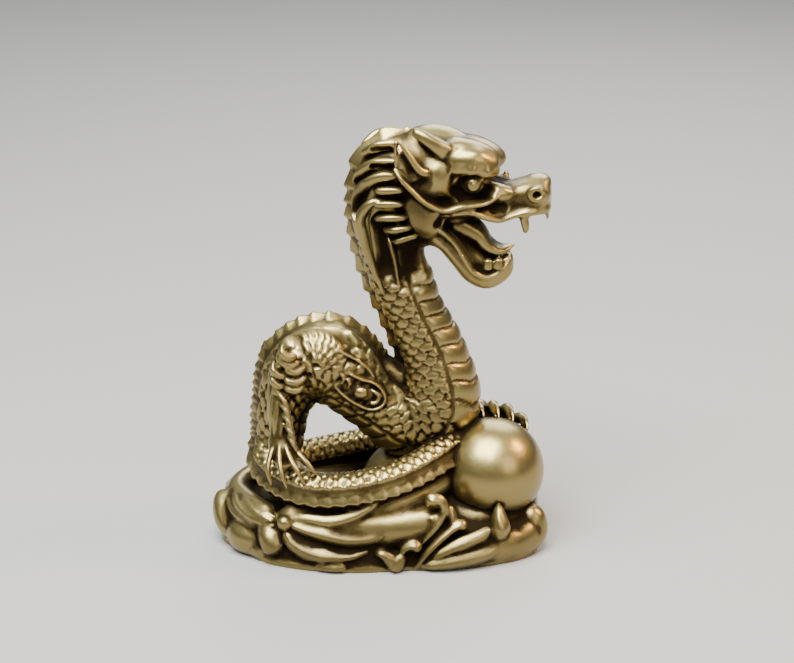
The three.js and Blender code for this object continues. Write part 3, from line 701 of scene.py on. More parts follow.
def base(clay):
    """A low mound of water with a lobed outline, flat below, on a thin rim."""
    reach_out = [r for r, _ in BASE_PROFILE]
    level = [z * BASE_TOP for _, z in BASE_PROFILE]

    def place(u, v):
        turn = 2 * math.pi * u
        squarish = np.abs(np.cos(turn)) ** BASE_SQUARE + np.abs(np.sin(turn)) ** BASE_SQUARE
        lobes = 0.985 + 0.03 * np.cos(5 * turn + 3.2) + 0.02 * np.cos(turn) + 0.008 * np.cos(11 * turn)
        reach = squarish ** (-1 / BASE_SQUARE) * lobes * along(reach_out, v)
        x, y = np.cos(turn) * reach * BASE_LENGTH / 2, np.sin(turn) * reach * BASE_DEPTH / 2
        return np.stack([x, y, along(level, v)], -1)

    skin(clay, BASE_AROUND, BASE_RINGS, place)


def swells(clay):
    """Swells that carry the chest, the tail and the ball, and the lobes of the outline."""
    lump(clay, (5.6, 0.5, 6.5), (8.4, 8.2, 7.0))
    lump(clay, (13.4, -0.6, 5), (8.2, 8.8, 4.6))
    lump(clay, (12.4, -7.4, 2.3), (8.0, 4.5, 3.5))
    lump(clay, (-16.2, -5.2, 2.2), (4.6, 4.2, 3.2))
    front = [(-14.0, -7.8, 5.2), (-10.4, -9.2, 5.2), (-5, -10.0, 5.0), (1, -10.2, 5.0),
             (6.5, -9.6, 5.4), (9.5, -8.0, 5.8)]
    bank = [(x * 0.97, y * 0.97, max(z - 3.2, 3)) for x, y, z in TAIL[1:7]]
    post = [(-20.8, -0.2, 6.0), (-21.2, -1.6, 5.0), (-21.0, -3.2, 3.2), (-19.8, -5.6, 1.6)]
    edge = [(-19.9, -4.6, 1.2), (-17.4, -7.8, 1.3), (-15.2, -10.0, 1.3)]
    knob = [(-15.0, -8.2, 4.6), (-14.5, -9.9, 3.4), (-13.8, -11.0, 1.6)]
    right_lobe = [(18.6, -6.0, 5.6), (20.4, -5.4, 4.4), (20.8, -5.9, 2.6), (19.3, -7.9, 1.6),
                  (16.6, -10.1, 1.0)]
    low_lobe = [(15.4, -9.4, 1.8), (19.0, -6.8, 2.6), (20.6, -3.4, 3.2)]
    limb(clay, post, (1.4, 1.7, 1.6, 1.0), around=20)
    limb(clay, edge, (0.9, 1.0, 0.9), around=20)
    limb(clay, knob, (1.4, 1.7, 1.4), around=20)
    limb(clay, right_lobe, (1.4, 2.0, 1.8, 1.4, 0.8), around=20)
    limb(clay, low_lobe, (1.9, 2.4, 1.8), around=20)
    limb(clay, front, (2.4, 2.6, 2.6, 2.6, 2.4, 1.6), (2.8, 3.0, 3.0, 3.0, 2.8, 2.2), around=24)
    saddle = [(-0.8, 0, 25.4), (1.0, 0, 24.1), (2.8, 0, 23.2), (4.6, 0, 24.2)]
    limb(clay, saddle, (1.6, 2.2, 2.4, 1.8), (1.2, 1.5, 1.7, 1.2), around=24)
    limb(clay, bank, (2.2, 2.4, 2.6, 2.6, 2.4, 2.2), around=20)


def waves(clay):
    flow_lines = [
        ([(6.4 + k, -12.7 + 0.3 * k, 0.5 + 0.1 * k), (11.6 + k, -12.0 + 0.4 * k, 0.9 + 0.12 * k),
          (16.2 + k, -9.9 + 0.7 * k, 1.5 + 0.2 * k)],
         (0.25, 0.4, 0.25), (0.2, 0.26, 0.2))
        for k in (0.3, 1.1)
    ]
    forms = [
        # The curling wave and its root
        ([(3.6, -12.2, 2.2), (6.2, -12.0, 4.6), (7.7, -11.6, 6.3), (8.5, -11.0, 8.0), (8.1, -10.8, 9.2),
          (7.0, -10.9, 9.5), (6.1, -11.2, 8.8)],
         (0.5, 0.7, 0.7, 0.75, 0.9, 1.1, 1.0), (0.35, 0.42, 0.5, 0.6, 0.8, 1.05, 0.85)),
        ([(6.6, -10.6, 7.6), (7.2, -10.6, 6.2), (6.2, -11.2, 4.6)], (1.2, 1.4, 1.0), (1.0, 1.1, 0.9)),
        ([(9.2, -10.4, 8.6), (9.6, -10.8, 7.2), (9.4, -11.2, 5.8)], (0.5, 0.8, 0.7), (0.4, 0.6, 0.5)),
        # The stem with a knob
        ([(4.6, -12.9, 0.4), (6.3, -12.7, 2.7), (7.9, -12.2, 4.3), (9.1, -11.8, 5.3),
          (10.5, -11.3, 6.1), (11.7, -11.0, 5.7)],
         (0.5, 0.7, 0.8, 0.8, 1.0, 0.95), (0.38, 0.5, 0.56, 0.56, 0.8, 0.8)),
        # The leaf that runs right under the ball
        ([(6.4, -12.6, 1.6), (8.6, -12.4, 2.7), (10.8, -12.0, 3.6), (13.3, -11.2, 4.4),
          (15.0, -10.2, 5.4)],
         (0.5, 0.8, 1.0, 0.9, 0.6), (0.4, 0.8, 1.1, 1.0, 0.6)),
        ([(5.4, -12.8, 0.8), (9.4, -12.5, 1.3), (13.4, -11.5, 1.9), (16.4, -10.0, 2.8)],
         (0.8, 1.1, 1.2, 0.9), (0.7, 1.2, 1.3, 1.0)),
        # The drop below the ball
        ([(15.8, -9.3, 8.3), (15.8, -10.2, 6.9), (16.0, -10.8, 5.4), (15.6, -10.6, 3.8)],
         (0.4, 1.0, 1.4, 1.0), (0.5, 1.0, 1.4, 1.0)),
        ([(17.6, -9.2, 3.6), (18.4, -8.9, 2.8), (18.9, -8.4, 2.0)], (0.7, 0.9, 0.6)),
        ([(16.4, -10.5, 2.2), (17.1, -10.3, 1.9), (17.8, -9.8, 1.3)], (0.6, 0.75, 0.5)),
        # The three leaved curl at the front
        ([(1.5, -13.1, 0.4), (2.3, -13.1, 1.4), (3.1, -12.9, 2.6)], (0.9, 0.9, 0.7), (1.2, 1.1, 0.7)),
        ([(2.0, -13.1, 0.9), (1.2, -13.1, 2.0), (0.1, -13.0, 2.7), (-0.6, -12.8, 2.5)],
         (0.6, 0.8, 0.7, 0.3), (0.9, 0.9, 0.6, 0.3)),
        ([(2.7, -12.9, 2.4), (3.5, -12.7, 3.4), (4.6, -12.7, 3.7), (5.3, -12.8, 2.9)],
         (0.6, 0.7, 0.9, 0.85), (0.45, 0.55, 0.75, 0.7)),
        ([(-8.6, -12.8, 0.7), (-6.2, -13.2, 0.8), (-4.4, -13.2, 0.9)], (0.5, 0.8, 0.7)),
        # On the low ground
        *flow_lines,
        # Plainer waves behind
        ([(-19, 5.4, 2.4), (-12, 9.8, 4.4), (-6, 10.8, 5.8), (-4.4, 10.2, 7.2)], (1.0, 1.3, 1.2, 0.8)),
        ([(-8, 11.2, 1.6), (1, 11.6, 3.6), (8, 10.4, 5.6), (9.6, 9.4, 7.4), (8.2, 9.2, 8)],
         (1.0, 1.2, 1.2, 0.9, 0.6)),
        ([(8, 11.4, 1.2), (14, 9.6, 2.6), (18, 6.6, 4.0), (18.6, 5.0, 5.2)], (1.0, 1.3, 1.2, 0.7)),
    ]
    for points, widths, *heights in forms:
        limb(clay, points, widths, *heights, around=16, boxy=1.4)


def tail_locks(clay):
    """The tail ends in a brush of hair, a knot and flat locks that lie over the left of the front like
    flames."""
    brush = [(-18.9, 3.4, 5.7), (-19.3, -0.4, 5.3), (-18.2, -4.2, 5.1), (-16.0, -7.2, 5.3),
             (-13.4, -9.7, 5.7)]
    limb(clay, brush, (1.5, 2.0, 2.1, 1.9, 1.2), (1.7, 2.1, 2.1, 1.9, 1.1), around=28, axle=COIL_AXLE)
    strands(clay, brush, (1.3, 1.85, 1.95, 1.7, 0.9), 9, 0.42, 0.35, axle=COIL_AXLE)
    forms = [([(-12.6, -10.8, 5.6), (-11.6, -11.6, 3.8), (-9.7, -12.1, 2.7), (-7.2, -12.6, 2.2),
               (-4.0, -12.8, 2.2), (-1.6, -12.8, 2.8)],
              (0.8, 1.1, 1.2, 1.2, 0.8, 0.2), (0.7, 1.1, 1.35, 1.2, 0.65, 0.2)),
             ([(-12.4, -10.9, 6.4), (-10.2, -11.6, 5.7), (-7.6, -12.1, 5.1), (-4.4, -12.3, 4.5),
               (-0.8, -12.3, 4.8), (1.3, -12.0, 5.6), (2.9, -11.5, 7.0)],
              (0.7, 0.9, 1.0, 1.1, 0.9, 0.5, 0.2), (0.6, 0.9, 1.15, 1.2, 0.9, 0.5, 0.2)),
             ([(-12.2, -10.6, 6.9), (-9.2, -11.3, 6.9), (-6.6, -11.6, 6.7), (-3.6, -11.6, 7.4),
               (-1.6, -11.5, 8.5), (0.4, -11.2, 9.9)],
              (0.5, 0.7, 0.9, 0.8, 0.6, 0.2), (0.5, 0.8, 1.0, 0.9, 0.6, 0.2))]
    for points, widths, heights in forms:
        limb(clay, points, widths, heights, around=20, boxy=1.5)
    lump(clay, (-12.6, -11.2, 6.3), (1.0, 0.95, 1.0), detail=3)


# Fine relief, drawn in the side view and laid on the flank

def flank_of(clay):
    """Gives the height of the near or far flank, seen square on, above a point of the side view."""
    tree = BVHTree.FromBMesh(clay)

    def reach(x, z, side):
        hit, _, _, _ = tree.ray_cast(Vector((x, 40.0 * side, z)), Vector((0, -side, 0)))
        if hit is None:
            hit, _, _, _ = tree.find_nearest(Vector((x, 5.0 * side, z)))
        return hit.y

    return reach


def ridge(clay, reach, line, wide, proud, side=NEAR, lift=0.0):
    """A raised line on a flank. wide and proud are half widths in the side view and out of it."""
    points = [(x, reach(x, z, side) + side * lift, z) for x, z in line]
    limb(clay, points, proud, wide, around=10)


def flank_flame(clay, reach, side):
    """A folded flame lies on the flank, two drops with thin raised rims, ribs at the left and a curl in
    the lower one."""
    upper = [(-7.6, 28.4), (-5.8, 28.2), (-4.2, 27.4), (-2.5, 26.3), (-1.2, 25.0), (-0.6, 23.6)]
    lower = [(-5.3, 25.6), (-3.9, 25.0), (-2.4, 24.2), (-0.9, 23.6), (0.2, 22.6), (0.7, 21.4),
             (0.2, 20.4), (-1.2, 20.0), (-2.6, 20.5), (-4.2, 21.5), (-5.6, 22.9), (-6.3, 24.2)]
    floor = [(-4.6, 23.6), (-2.4, 22.2), (-0.8, 21.4)]
    curl = [(-1.0, 22.6), (-0.1, 21.8), (-0.6, 20.9), (-1.5, 21.0)]
    ridge(clay, reach, floor, (0.9, 1.4, 0.8), (0.5, 0.7, 0.5), side)
    ridge(clay, reach, upper, (0.26,) * 6, (0.55, 0.75, 0.85, 0.85, 0.8, 0.7), side, lift=0.1)
    ridge(clay, reach, lower, (0.28,) * 12, (0.9,) * 12, side, lift=0.25)
    ridge(clay, reach, curl, (0.26, 0.3, 0.3, 0.3), (0.4,) * 4, side, lift=0.75)
    for x, z in ((-5.9, 25.3), (-5.0, 24.7), (-4.2, 24.0)):
        ridge(clay, reach, [(x - 0.2, z + 0.5), (x + 0.25, z - 0.2), (x - 0.1, z - 1.3)],
              (0.2, 0.3, 0.15), (0.6, 0.7, 0.4), side, lift=0.45)
    lump(clay, (-2.5, reach(-2.5, 22.4, side) + side * 1.0, 22.5), (0.95, 0.7, 0.85), detail=3)


def flames(clay, reach, side):
    """Curved blades of flame fan out over the haunch in tiers."""
    for tier, (out, count) in enumerate(FLAME_TIERS):
        for k in range(count):
            middle = np.interp(k + 0.5 * (tier % 2), (0, count), FLAME_FAN)
            blade = []
            for step, bend in FLAME_STEPS:
                turn = middle + bend / (0.5 + 0.4 * out)
                x = FLAME_HUB[0] + (out + step) * math.cos(turn)
                z = FLAME_HUB[1] + (out + step) * math.sin(turn)
                back = x - (FAR_LEG_BACK if side == FAR else 0)
                blade.append((back, reach(back, z, side) + side * (haunch_swell(x, z) + 0.05), z))
            if blade[-1][2] < FLAMES_END[side] and blade[-1][0] > FLAMES_BACK:
                limb(clay, blade, (0.3, 0.5, 0.42, 0.12), (0.3, 0.52, 0.42, 0.1), boxy=1.35)


def small_scales(clay, reach, side):
    """A single row of beads runs from the hip to the chest below the crest."""
    for x, z in ((-5.9, 28.9), (-4.7, 28.2), (-3.5, 27.4), (-2.4, 26.5), (-1.5, 25.4), (-0.6, 24.4)):
        lump(clay, (x, reach(x, z, side), z), (0.6, 0.35, 0.5), pitch=35, detail=2)


# Hollows pressed into the skin: a line of points, its reach, and the push towards the middle plane
PRESSED = [([(-0.9, -4.0, 54.9), (1.2, -4.2, 55.0)], 0.55, 0.9),
           ([(-0.7, -4.2, 52.9), (1.4, -4.6, 53.1)], 0.45, 0.8),
           ([(-2.6, -3.2, 50.2), (-3.0, -3.0, 48.4), (-2.9, -3.2, 47.0)], 0.9, 1.1),
           ([(0.4, -4.0, 45.4), (0.6, -4.0, 42.6), (0.9, -3.8, 39.4)], 1.0, 1.0),
           ([(4.4, -4.2, 42.4), (4.2, -3.9, 40.0), (4.0, -3.8, 38.4)], 1.7, 1.0),
           ([(4.0, -5.5, 53.0), (3.2, -5.5, 54.7)], 0.4, 0.4),
           ([(10.2, -4.6, 51.6), (10.1, -4.6, 50.2), (11.2, -4.4, 49.0), (12.8, -4.0, 49.1),
             (13.8, -4.0, 50.2)],
            0.8, 1.1),
           ([(14.8, -3.8, 47.4), (16.0, -3.4, 47.4)], 0.45, 0.4), ([(20.3, -3.2, 49.1)], 0.34, 0.65),
           ([(8.6, -4.8, 46.9), (7.6, -4.8, 45.6)], 0.5, 0.6)]


def press(places):
    for line, reach, push in PRESSED:
        for side in SIDES:
            laid = np.array(on_side(line, side) if side == FAR else line, float)
            starts, ends = (laid[:-1], laid[1:]) if len(laid) > 1 else (laid, laid)
            near = np.full(len(places), 1e9)
            for a, b in zip(starts, ends):
                run = b - a
                w = np.clip(((places - a) @ run) / max(run @ run, 1e-9), 0, 1)
                near = np.minimum(near, np.linalg.norm(places - a - w[:, None] * run, axis=1))
            places[:, 1] -= side * push * np.clip(1 - (near / (2 * reach)) ** 2, 0, 1) ** 2
    return places


# Casting

def through(obj, kind, **settings):
    """Runs one modifier over a mesh and keeps what it makes."""
    modifier = obj.modifiers.new(kind.lower(), kind)
    for name, value in settings.items():
        setattr(modifier, name, value)
    depsgraph = bpy.context.evaluated_depsgraph_get()
    made = bpy.data.meshes.new_from_object(obj.evaluated_get(depsgraph))
    obj.modifiers.clear()
    obj.data = made
    return obj


def as_object(name, form):
    mesh = bpy.data.meshes.new(name)
    form.to_mesh(mesh)
    form.free()
    made = bpy.data.objects.new(name, mesh)
    bpy.context.scene.collection.objects.link(made)
    return made


def masses(clay):
    """The rough masses, melted into each other as a modeller's thumb does."""
    rough = bmesh.new()
    trunk(rough, carved=False)
    skull(rough)
    jaw(rough)
    for side in SIDES:
        leg_masses(rough, side)
        face(rough, side)
    base(rough)
    swells(rough)
    waves(rough)
    tail_locks(rough)
    melted = as_object("masses", rough)
    through(melted, "REMESH", mode="VOXEL", voxel_size=MASS_VOXEL)
    through(melted, "SMOOTH", factor=0.5, iterations=MASS_ROUNDS)
    clay.from_mesh(melted.data, face_normals=False, vertex_normals=False)
    bpy.data.objects.remove(melted)


def lay_up():
    """The melted masses first, so that the fine relief can find their flanks, then all the carving."""
    clay = bmesh.new()
    masses(clay)
    reach = flank_of(clay)
    for side in SIDES:
        hind_leg(clay, side)
        face(clay, side)
        eye(clay, side)
        mane(clay, side)
        flank_flame(clay, reach, side)
        flames(clay, reach, side)
        small_scales(clay, reach, side)
    tongue_and_teeth(clay)
    trunk(clay, carved=True)
    crest(clay)
    foreleg(clay)
    lump(clay, BALL_CENTRE, (BALL_RADIUS,) * 3, detail=6)
    base(clay)
    waves(clay)
    tail_locks(clay)
    return clay


def places_of(mesh):
    places = np.empty(len(mesh.vertices) * 3, np.float32)
    mesh.vertices.foreach_get("co", places)
    return places.reshape(-1, 3).astype(float)


def set_places(mesh, places):
    mesh.vertices.foreach_set("co", places.astype(np.float32).ravel())
    mesh.update()


def cast():
    """One closed skin round the whole lump of clay, its small steps smoothed and its faces thinned."""
    piece = as_object("dragon_brass", lay_up())
    through(piece, "REMESH", mode="VOXEL", voxel_size=VOXEL)
    through(piece, "SMOOTH", factor=0.5, iterations=SKIN_ROUNDS)
    set_places(piece.data, press(places_of(piece.data)))
    through(piece, "DECIMATE", ratio=MOST_TRIANGLES / (2 * len(piece.data.polygons)))
    return piece


# Patina and painted shade: how hollow each spot is, and how much sky nearby metal hides from it

SHELTER_RAYS = 14
SHELTER_REACH = 9.0
SHELTER_SMOOTHINGS = 3
SHELTER_LIFT = 0.06
FINE_ROUNDS = 5
BROAD_ROUNDS = 26
# How much lower than its surroundings a spot lies where its hollow or fold counts as full
FINE_DEPTH = 0.16
BROAD_DEPTH = 0.5
# Places darkened on both sides, partly soot where no hand rubs and partly painted shade in the mouth,
# throat, eye socket, under the body and the ball and inside the loop: centre, reach and how dark
SOOTY_AND_SHADED = [
    ((3.6, -4.0, 40.6), (2.8, 3.0, 3.4), 0.8),
    ((-0.6, -4.6, 43.6), (1.2, 2.0, 3.8), 0.7),
    ((-2.3, -3.6, 49.0), (1.3, 2.0, 1.6), 0.8),
    ((11.4, 0, 44.6), (4.0, 4.0, 1.8), 0.9),
    ((14.6, 0, 39.9), (2.2, 1.8, 1.0), 0.8),
    ((10.6, -4.4, 49.6), (1.6, 1.4, 1.2), 0.8),
    ((14.6, -3.6, 47.3), (1.8, 1.2, 0.7), 0.7),
    ((-9.4, 0, 16.6), (2.8, 5.2, 5.5), 1.0),
    ((-4.6, 0, 18.6), (4.6, 4.0, 2.4), 0.8),
    ((-5.5, 0, 8.0), (7.0, 6.2, 3.0), 0.5),
    ((5.2, -5.0, 46.6), (2.4, 1.8, 3.2), 0.9),
    ((7.0, -4.6, 17.2), (4.0, 2.6, 3.4), 0.5),
    ((-7.0, 0, 31.8), (6.5, 2.4, 1.4), 0.45),
    ((2.2, 0, 24.4), (1.8, 3.2, 1.6), 0.9),
    ((-2.0, -12.5, 2.4), (20.0, 4.0, 3.8), 0.8),
    ((17.5, -8.0, 3.0), (4.0, 4.0, 3.6), 0.75),
    ((15.1, -7.6, 5.4), (5.0, 4.0, 3.0), 0.7),
]


def neighbour_mean(values, edges, count):
    total = np.zeros_like(values)
    np.add.at(total, edges[:, 0], values[edges[:, 1]])
    np.add.at(total, edges[:, 1], values[edges[:, 0]])
    return total / np.maximum(count, 1)[:, None]


def edges_of(mesh):
    edges = np.empty(len(mesh.edges) * 2, np.int32)
    mesh.edges.foreach_get("vertices", edges)
    edges = edges.reshape(-1, 2)
    return edges, np.bincount(edges.ravel(), minlength=len(mesh.vertices))


def hollows(mesh, places, normals):
    """How far each spot lies below its smoothed surroundings, at two sizes, in millimetres."""
    edges, count = edges_of(mesh)
    smooth, found = places.copy(), []
    for step in range(BROAD_ROUNDS):
        smooth = neighbour_mean(smooth, edges, count)
        if step + 1 in (FINE_ROUNDS, BROAD_ROUNDS):
            found.append(((smooth - places) * normals).sum(1))
    return found


def sky_shade(mesh, places, normals):
    """The share of the sky that nearby metal hides from each spot. It darkens the colour as painted shade.
    """
    tree = BVHTree.FromPolygons(places.tolist(), [tuple(p.vertices) for p in mesh.polygons])
    golden = math.pi * (3 - math.sqrt(5))
    height = 1 - (np.arange(SHELTER_RAYS) + 0.5) / SHELTER_RAYS * 0.97
    ring = np.sqrt(1 - height**2)
    turn = golden * np.arange(SHELTER_RAYS)
    local = np.stack([ring * np.cos(turn), ring * np.sin(turn), height], -1)
    weights = height / height.sum()
    helper = np.where(np.abs(normals[:, 2:3]) < 0.9, [[0, 0, 1]], [[1, 0, 0]])
    first = unit(np.cross(normals, helper))
    second = np.cross(normals, first)
    hidden = np.zeros(len(places))
    starts = places + normals * SHELTER_LIFT
    for (a, b, c), weight in zip(local, weights):
        rays = first * a + second * b + normals * c
        for i, (start, ray) in enumerate(zip(starts.tolist(), rays.tolist())):
            _, _, _, distance = tree.ray_cast(start, ray, SHELTER_REACH)
            if distance is not None:
                hidden[i] += weight * (1 - distance / SHELTER_REACH) ** 0.5
    return hidden


# Darkness from soot where no hand rubs and painted shade in sheltered places, from the list above.
def soot_and_shade(places):
    dark = np.zeros(len(places))
    for centre, reach, strength in SOOTY_AND_SHADED:
        for side in SIDES if centre[1] else SIDES[:1]:
            middle = np.array([centre[0], -side * centre[1], centre[2]])
            dark = np.maximum(dark, strength * np.exp(-(((places - middle) / reach) ** 2).sum(1)))
    return dark


def paint(mesh, name, values):
    attribute = mesh.attributes.new(name, "FLOAT", "POINT")
    attribute.data.foreach_set("value", values.astype(np.float32))


def weather_and_shade(piece):
    mesh = piece.data
    places = places_of(mesh)
    normals = np.empty(len(places) * 3, np.float32)
    mesh.vertices.foreach_get("normal", normals)
    normals = normals.reshape(-1, 3).astype(float)
    fine, broad = hollows(mesh, places, normals)
    hidden = sky_shade(mesh, places, normals)[:, None]
    edges, count = edges_of(mesh)
    for _ in range(SHELTER_SMOOTHINGS):
        hidden = 0.5 * hidden + 0.5 * neighbour_mean(hidden, edges, count)
    hidden = hidden[:, 0]
    paint(mesh, "hollow", np.clip(0.5 + fine / FINE_DEPTH, 0, 1))
    paint(mesh, "fold", np.clip(0.5 + broad / BROAD_DEPTH, 0, 1))
    # Painted shade: how much of the sky nearby metal hides from each spot.
    paint(mesh, "sky_shade", np.clip(hidden, 0, 1))
    # Partly soot, partly painted shade in the mouth, throat, loop and under the ball.
    paint(mesh, "soot_and_shade", soot_and_shade(places))


# Materials

def node(tree, kind, place=(0, 0), **values):
    made = tree.nodes.new(kind)
    made.location = place
    for name, value in values.items():
        setattr(made, name, value)
    return made


def mix_colour(tree, share, first, second):
    """Mixes two colours, each a socket or a value, and gives the mixed socket."""
    made = node(tree, "ShaderNodeMix", data_type="RGBA")
    for socket, value in zip((made.inputs[0], made.inputs[6], made.inputs[7]), (share, first, second)):
        feed(tree, socket, value)
    return made.outputs[2]


def feed(tree, socket, value):
    if isinstance(value, bpy.types.NodeSocket):
        tree.links.new(value, socket)
    else:
        socket.default_value = value


def sums(tree, operation, *values, clamp=False):
    made = node(tree, "ShaderNodeMath", operation=operation, use_clamp=clamp)
    for socket, value in zip(made.inputs, values):
        feed(tree, socket, value)
    return made.outputs[0]


def scaled(tree, value, part):
    return sums(tree, "MULTIPLY", value, part)


def remap(tree, value, low, high, to_low=0.0, to_high=1.0):
    made = node(tree, "ShaderNodeMapRange", interpolation_type="SMOOTHSTEP")
    for socket, given in zip(made.inputs, (value, low, high, to_low, to_high)):
        feed(tree, socket, given)
    return made.outputs[0]


def noise(tree, vector, scale, detail=4.0, roughness=0.6):
    made = node(tree, "ShaderNodeTexNoise")
    tree.links.new(vector, made.inputs["Vector"])
    made.inputs["Scale"].default_value = scale
    made.inputs["Detail"].default_value = detail
    made.inputs["Roughness"].default_value = roughness
    return made.outputs["Fac"]


def patina_and_shade_group():
    """Dirt in the hollows, painted shade where nearby metal hides the sky and in the shaded sooty places,
    rubbed high points and a cast skin, from what weather_and_shade() painted and from noise."""
    group = bpy.data.node_groups.new("cast_patina_and_shade", "ShaderNodeTree")
    for name in ("Rubbed", "Skin", "Dirt And Shade"):
        group.interface.new_socket(name, in_out="INPUT", socket_type="NodeSocketColor")
    for name, value in (("Dirt And Shade Reach", 0.5), ("Rub Reach", 0.5), ("Grain", 1.0)):
        socket = group.interface.new_socket(name, in_out="INPUT", socket_type="NodeSocketFloat")
        socket.default_value = value
    group.interface.new_socket("Colour", in_out="OUTPUT", socket_type="NodeSocketColor")
    for name in ("Gloss Loss", "Coat", "Height"):
        group.interface.new_socket(name, in_out="OUTPUT", socket_type="NodeSocketFloat")
    given, out = node(group, "NodeGroupInput"), node(group, "NodeGroupOutput")
    hollow, fold, sky_shaded, sooty_and_shaded = (
        node(group, "ShaderNodeAttribute", attribute_name=name).outputs["Fac"]
        for name in ("hollow", "fold", "sky_shade", "soot_and_shade")
    )
    place = node(group, "ShaderNodeTexCoord").outputs["Object"]
    cloud = noise(group, place, 260, 5, 0.62)
    speck = noise(group, place, 1900, 4, 0.65)
    pits = noise(group, place, 5200, 2, 0.5)

    # Dirt in the hollows and folds, random specks, and painted shade where nearby metal hides the sky and
    # in the sooty places all pull the colour towards the dark colour.
    dirt_and_shade_sum = sums(group, "ADD", scaled(group, hollow, 0.75), scaled(group, fold, 0.45))
    dirt_and_shade_sum = sums(group, "ADD", dirt_and_shade_sum, scaled(group, sky_shaded, 0.85))
    dirt_and_shade_sum = sums(group, "ADD", dirt_and_shade_sum, scaled(group, sums(group, "SUBTRACT", speck, 0.5), 0.35))
    dirt_and_shade_sum = sums(group, "ADD", dirt_and_shade_sum, scaled(group, sooty_and_shaded, 0.7))
    dirt_and_shade = remap(group, sums(group, "MULTIPLY", dirt_and_shade_sum, given.outputs["Dirt And Shade Reach"]), 0.46, 0.86)
    sunken = sums(group, "ADD", hollow, scaled(group, fold, 0.6))
    raised = sums(group, "SUBTRACT", 1.0, scaled(group, sunken, 0.9))
    raised = sums(group, "ADD", raised, scaled(group, sums(group, "SUBTRACT", cloud, 0.5), 0.7))
    # Rubbed brass is real wear on high points. It is also held back where nearby metal hides the sky and
    # in the sooty places, which is painted shade.
    raised = sums(group, "SUBTRACT", raised, scaled(group, sky_shaded, 0.35))
    handled_and_lit = sums(group, "SUBTRACT", 1.0, sooty_and_shaded)
    raised = sums(group, "ADD", raised, scaled(group, given.outputs["Rub Reach"], 0.3))
    rubbed = sums(group, "MULTIPLY", remap(group, raised, 0.36, 0.8), handled_and_lit)

    skin_share = remap(group, cloud, 0.35, 0.7)
    skin_colour = mix_colour(group, skin_share, given.outputs["Skin"], given.outputs["Rubbed"])
    tempered = mix_colour(group, 0.3, given.outputs["Skin"], skin_colour)
    colour = mix_colour(group, rubbed, tempered, given.outputs["Rubbed"])
    colour = mix_colour(group, dirt_and_shade, colour, given.outputs["Dirt And Shade"])
    group.links.new(colour, out.inputs["Colour"])
    loss = sums(group, "ADD", scaled(group, dirt_and_shade, 0.35), scaled(group, speck, 0.14))
    loss = sums(group, "SUBTRACT", loss, scaled(group, rubbed, 0.1))
    group.links.new(loss, out.inputs["Gloss Loss"])
    group.links.new(remap(group, dirt_and_shade, 0.0, 1.0, 0.25, 0.0), out.inputs["Coat"])
    grain = sums(group, "ADD", scaled(group, speck, 0.7), scaled(group, pits, 0.3))
    grain = sums(group, "ADD", grain, scaled(group, cloud, 4.0))
    group.links.new(sums(group, "MULTIPLY", grain, given.outputs["Grain"]), out.inputs["Height"])
    return group


RUBBED_BRASS = (0.28, 0.212, 0.077, 1)
OLIVE_SKIN = (0.058, 0.036, 0.0075, 1)
# The dark colour stands both for dirt in the hollows and for painted shade in sheltered places.
DARK_DIRT_AND_SHADE = (0.014, 0.008, 0.003, 1)
DIRT_AND_SHADE_REACH = 0.62
RUB_REACH = 0.5
BRASS_ROUGHNESS = 0.34
BRASS_METALLIC = 0.95
COAT_ROUGHNESS = 0.3
GRAIN_STRENGTH = 0.25
GRAIN_HEIGHT = 0.05


def brass_material(patina_and_shade):
    material = bpy.data.materials.new("worn_brass")
    material.use_nodes = True
    tree = material.node_tree
    shader = tree.nodes["Principled BSDF"]
    worn = node(tree, "ShaderNodeGroup", node_tree=patina_and_shade)
    worn.inputs["Rubbed"].default_value = RUBBED_BRASS
    worn.inputs["Skin"].default_value = OLIVE_SKIN
    worn.inputs["Dirt And Shade"].default_value = DARK_DIRT_AND_SHADE
    worn.inputs["Dirt And Shade Reach"].default_value = DIRT_AND_SHADE_REACH
    worn.inputs["Rub Reach"].default_value = RUB_REACH
    tree.links.new(worn.outputs["Colour"], shader.inputs["Base Color"])
    rough = sums(tree, "ADD", BRASS_ROUGHNESS, worn.outputs["Gloss Loss"])
    tree.links.new(rough, shader.inputs["Roughness"])
    shader.inputs["Metallic"].default_value = BRASS_METALLIC
    tree.links.new(worn.outputs["Coat"], shader.inputs["Coat Weight"])
    shader.inputs["Coat Roughness"].default_value = COAT_ROUGHNESS
    bump = node(tree, "ShaderNodeBump")
    bump.inputs["Strength"].default_value = GRAIN_STRENGTH
    bump.inputs["Distance"].default_value = GRAIN_HEIGHT * MM
    tree.links.new(worn.outputs["Height"], bump.inputs["Height"])
    tree.links.new(bump.outputs["Normal"], shader.inputs["Normal"])
    return material


# The stage

CAMERA_TARGET = (2.27, 0, 29.16)
CAMERA_DISTANCE = 300
CAMERA_ELEVATION = 20
PHOTO_WIDTH = 794
FOCAL_PIXELS = 2250
SENSOR = 36


def aim(obj, place, target):
    obj.location = Vector(place) * MM
    obj.rotation_euler = (Vector(target) - Vector(place)).to_track_quat("-Z", "Y").to_euler()


def set_camera():
    camera = bpy.data.objects.new("camera", bpy.data.cameras.new("camera"))
    bpy.context.scene.collection.objects.link(camera)
    camera.data.sensor_width = SENSOR
    camera.data.lens = SENSOR * FOCAL_PIXELS / PHOTO_WIDTH
    camera.data.clip_start = 0.01
    lift = math.radians(CAMERA_ELEVATION)
    back = Vector((0, -math.cos(lift), math.sin(lift))) * CAMERA_DISTANCE
    aim(camera, Vector(CAMERA_TARGET) + back, CAMERA_TARGET)
    bpy.context.scene.camera = camera


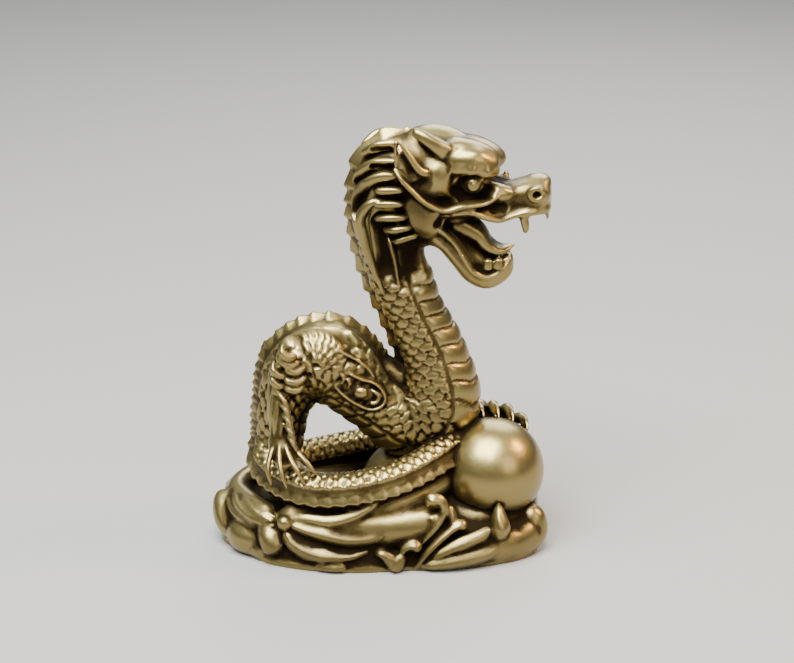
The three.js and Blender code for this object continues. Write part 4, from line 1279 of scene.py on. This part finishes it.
def set_floor():
    build = bmesh.new()
    bmesh.ops.create_grid(build, x_segments=1, y_segments=1, size=3)
    mesh = bpy.data.meshes.new("floor")
    build.to_mesh(mesh)
    build.free()
    floor = bpy.data.objects.new("floor", mesh)
    bpy.context.scene.collection.objects.link(floor)
    material = bpy.data.materials.new("pale_floor")
    material.use_nodes = True
    shader = material.node_tree.nodes["Principled BSDF"]
    shader.inputs["Base Color"].default_value = (0.265, 0.257, 0.255, 1)
    shader.inputs["Roughness"].default_value = 0.85
    mesh.materials.append(material)


def set_light():
    lamps = (
        ("key", (-60, -120, 330), 260, 5.9, (0.96, 1.0, 0.95)),
        ("window", (235, 15, 215), 80, 0.8, (1.0, 0.6, 0.25)),
        ("fill", (200, -220, 160), 160, 0.3, (1.0, 0.86, 0.68)),
        ("rim", (60, 240, 220), 200, 0.8, (0.95, 0.98, 1.0)),
    )
    for name, place, size, power, colour in lamps:
        lamp = bpy.data.lights.new(name, "AREA")
        lamp.size = size * MM
        lamp.energy = power
        lamp.color = colour
        obj = bpy.data.objects.new(name, lamp)
        bpy.context.scene.collection.objects.link(obj)
        aim(obj, place, (0, 0, 25))
    world = bpy.data.worlds.new("studio")
    world.use_nodes = True
    bpy.context.scene.world = world
    tree = world.node_tree
    height = node(tree, "ShaderNodeSeparateXYZ")
    tree.links.new(node(tree, "ShaderNodeTexCoord").outputs["Generated"], height.inputs[0])
    sky = remap(tree, height.outputs["Z"], -0.1, 0.9)
    colour = mix_colour(tree, sky, (0.05, 0.042, 0.036, 1), (0.86, 0.95, 0.93, 1))
    tree.links.new(colour, tree.nodes["Background"].inputs["Color"])
    tree.nodes["Background"].inputs["Strength"].default_value = 0.85


set_camera()
set_floor()
set_light()

dragon = cast()
weather_and_shade(dragon)
finished = places_of(dragon.data)
finished[finished[:, 2] < FLOOR_SKIN, 2] = 0
set_places(dragon.data, finished * MM)
dragon.data.materials.append(brass_material(patina_and_shade_group()))
dragon.data.shade_smooth()
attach(dragon, "root")
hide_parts("dragon_casting")
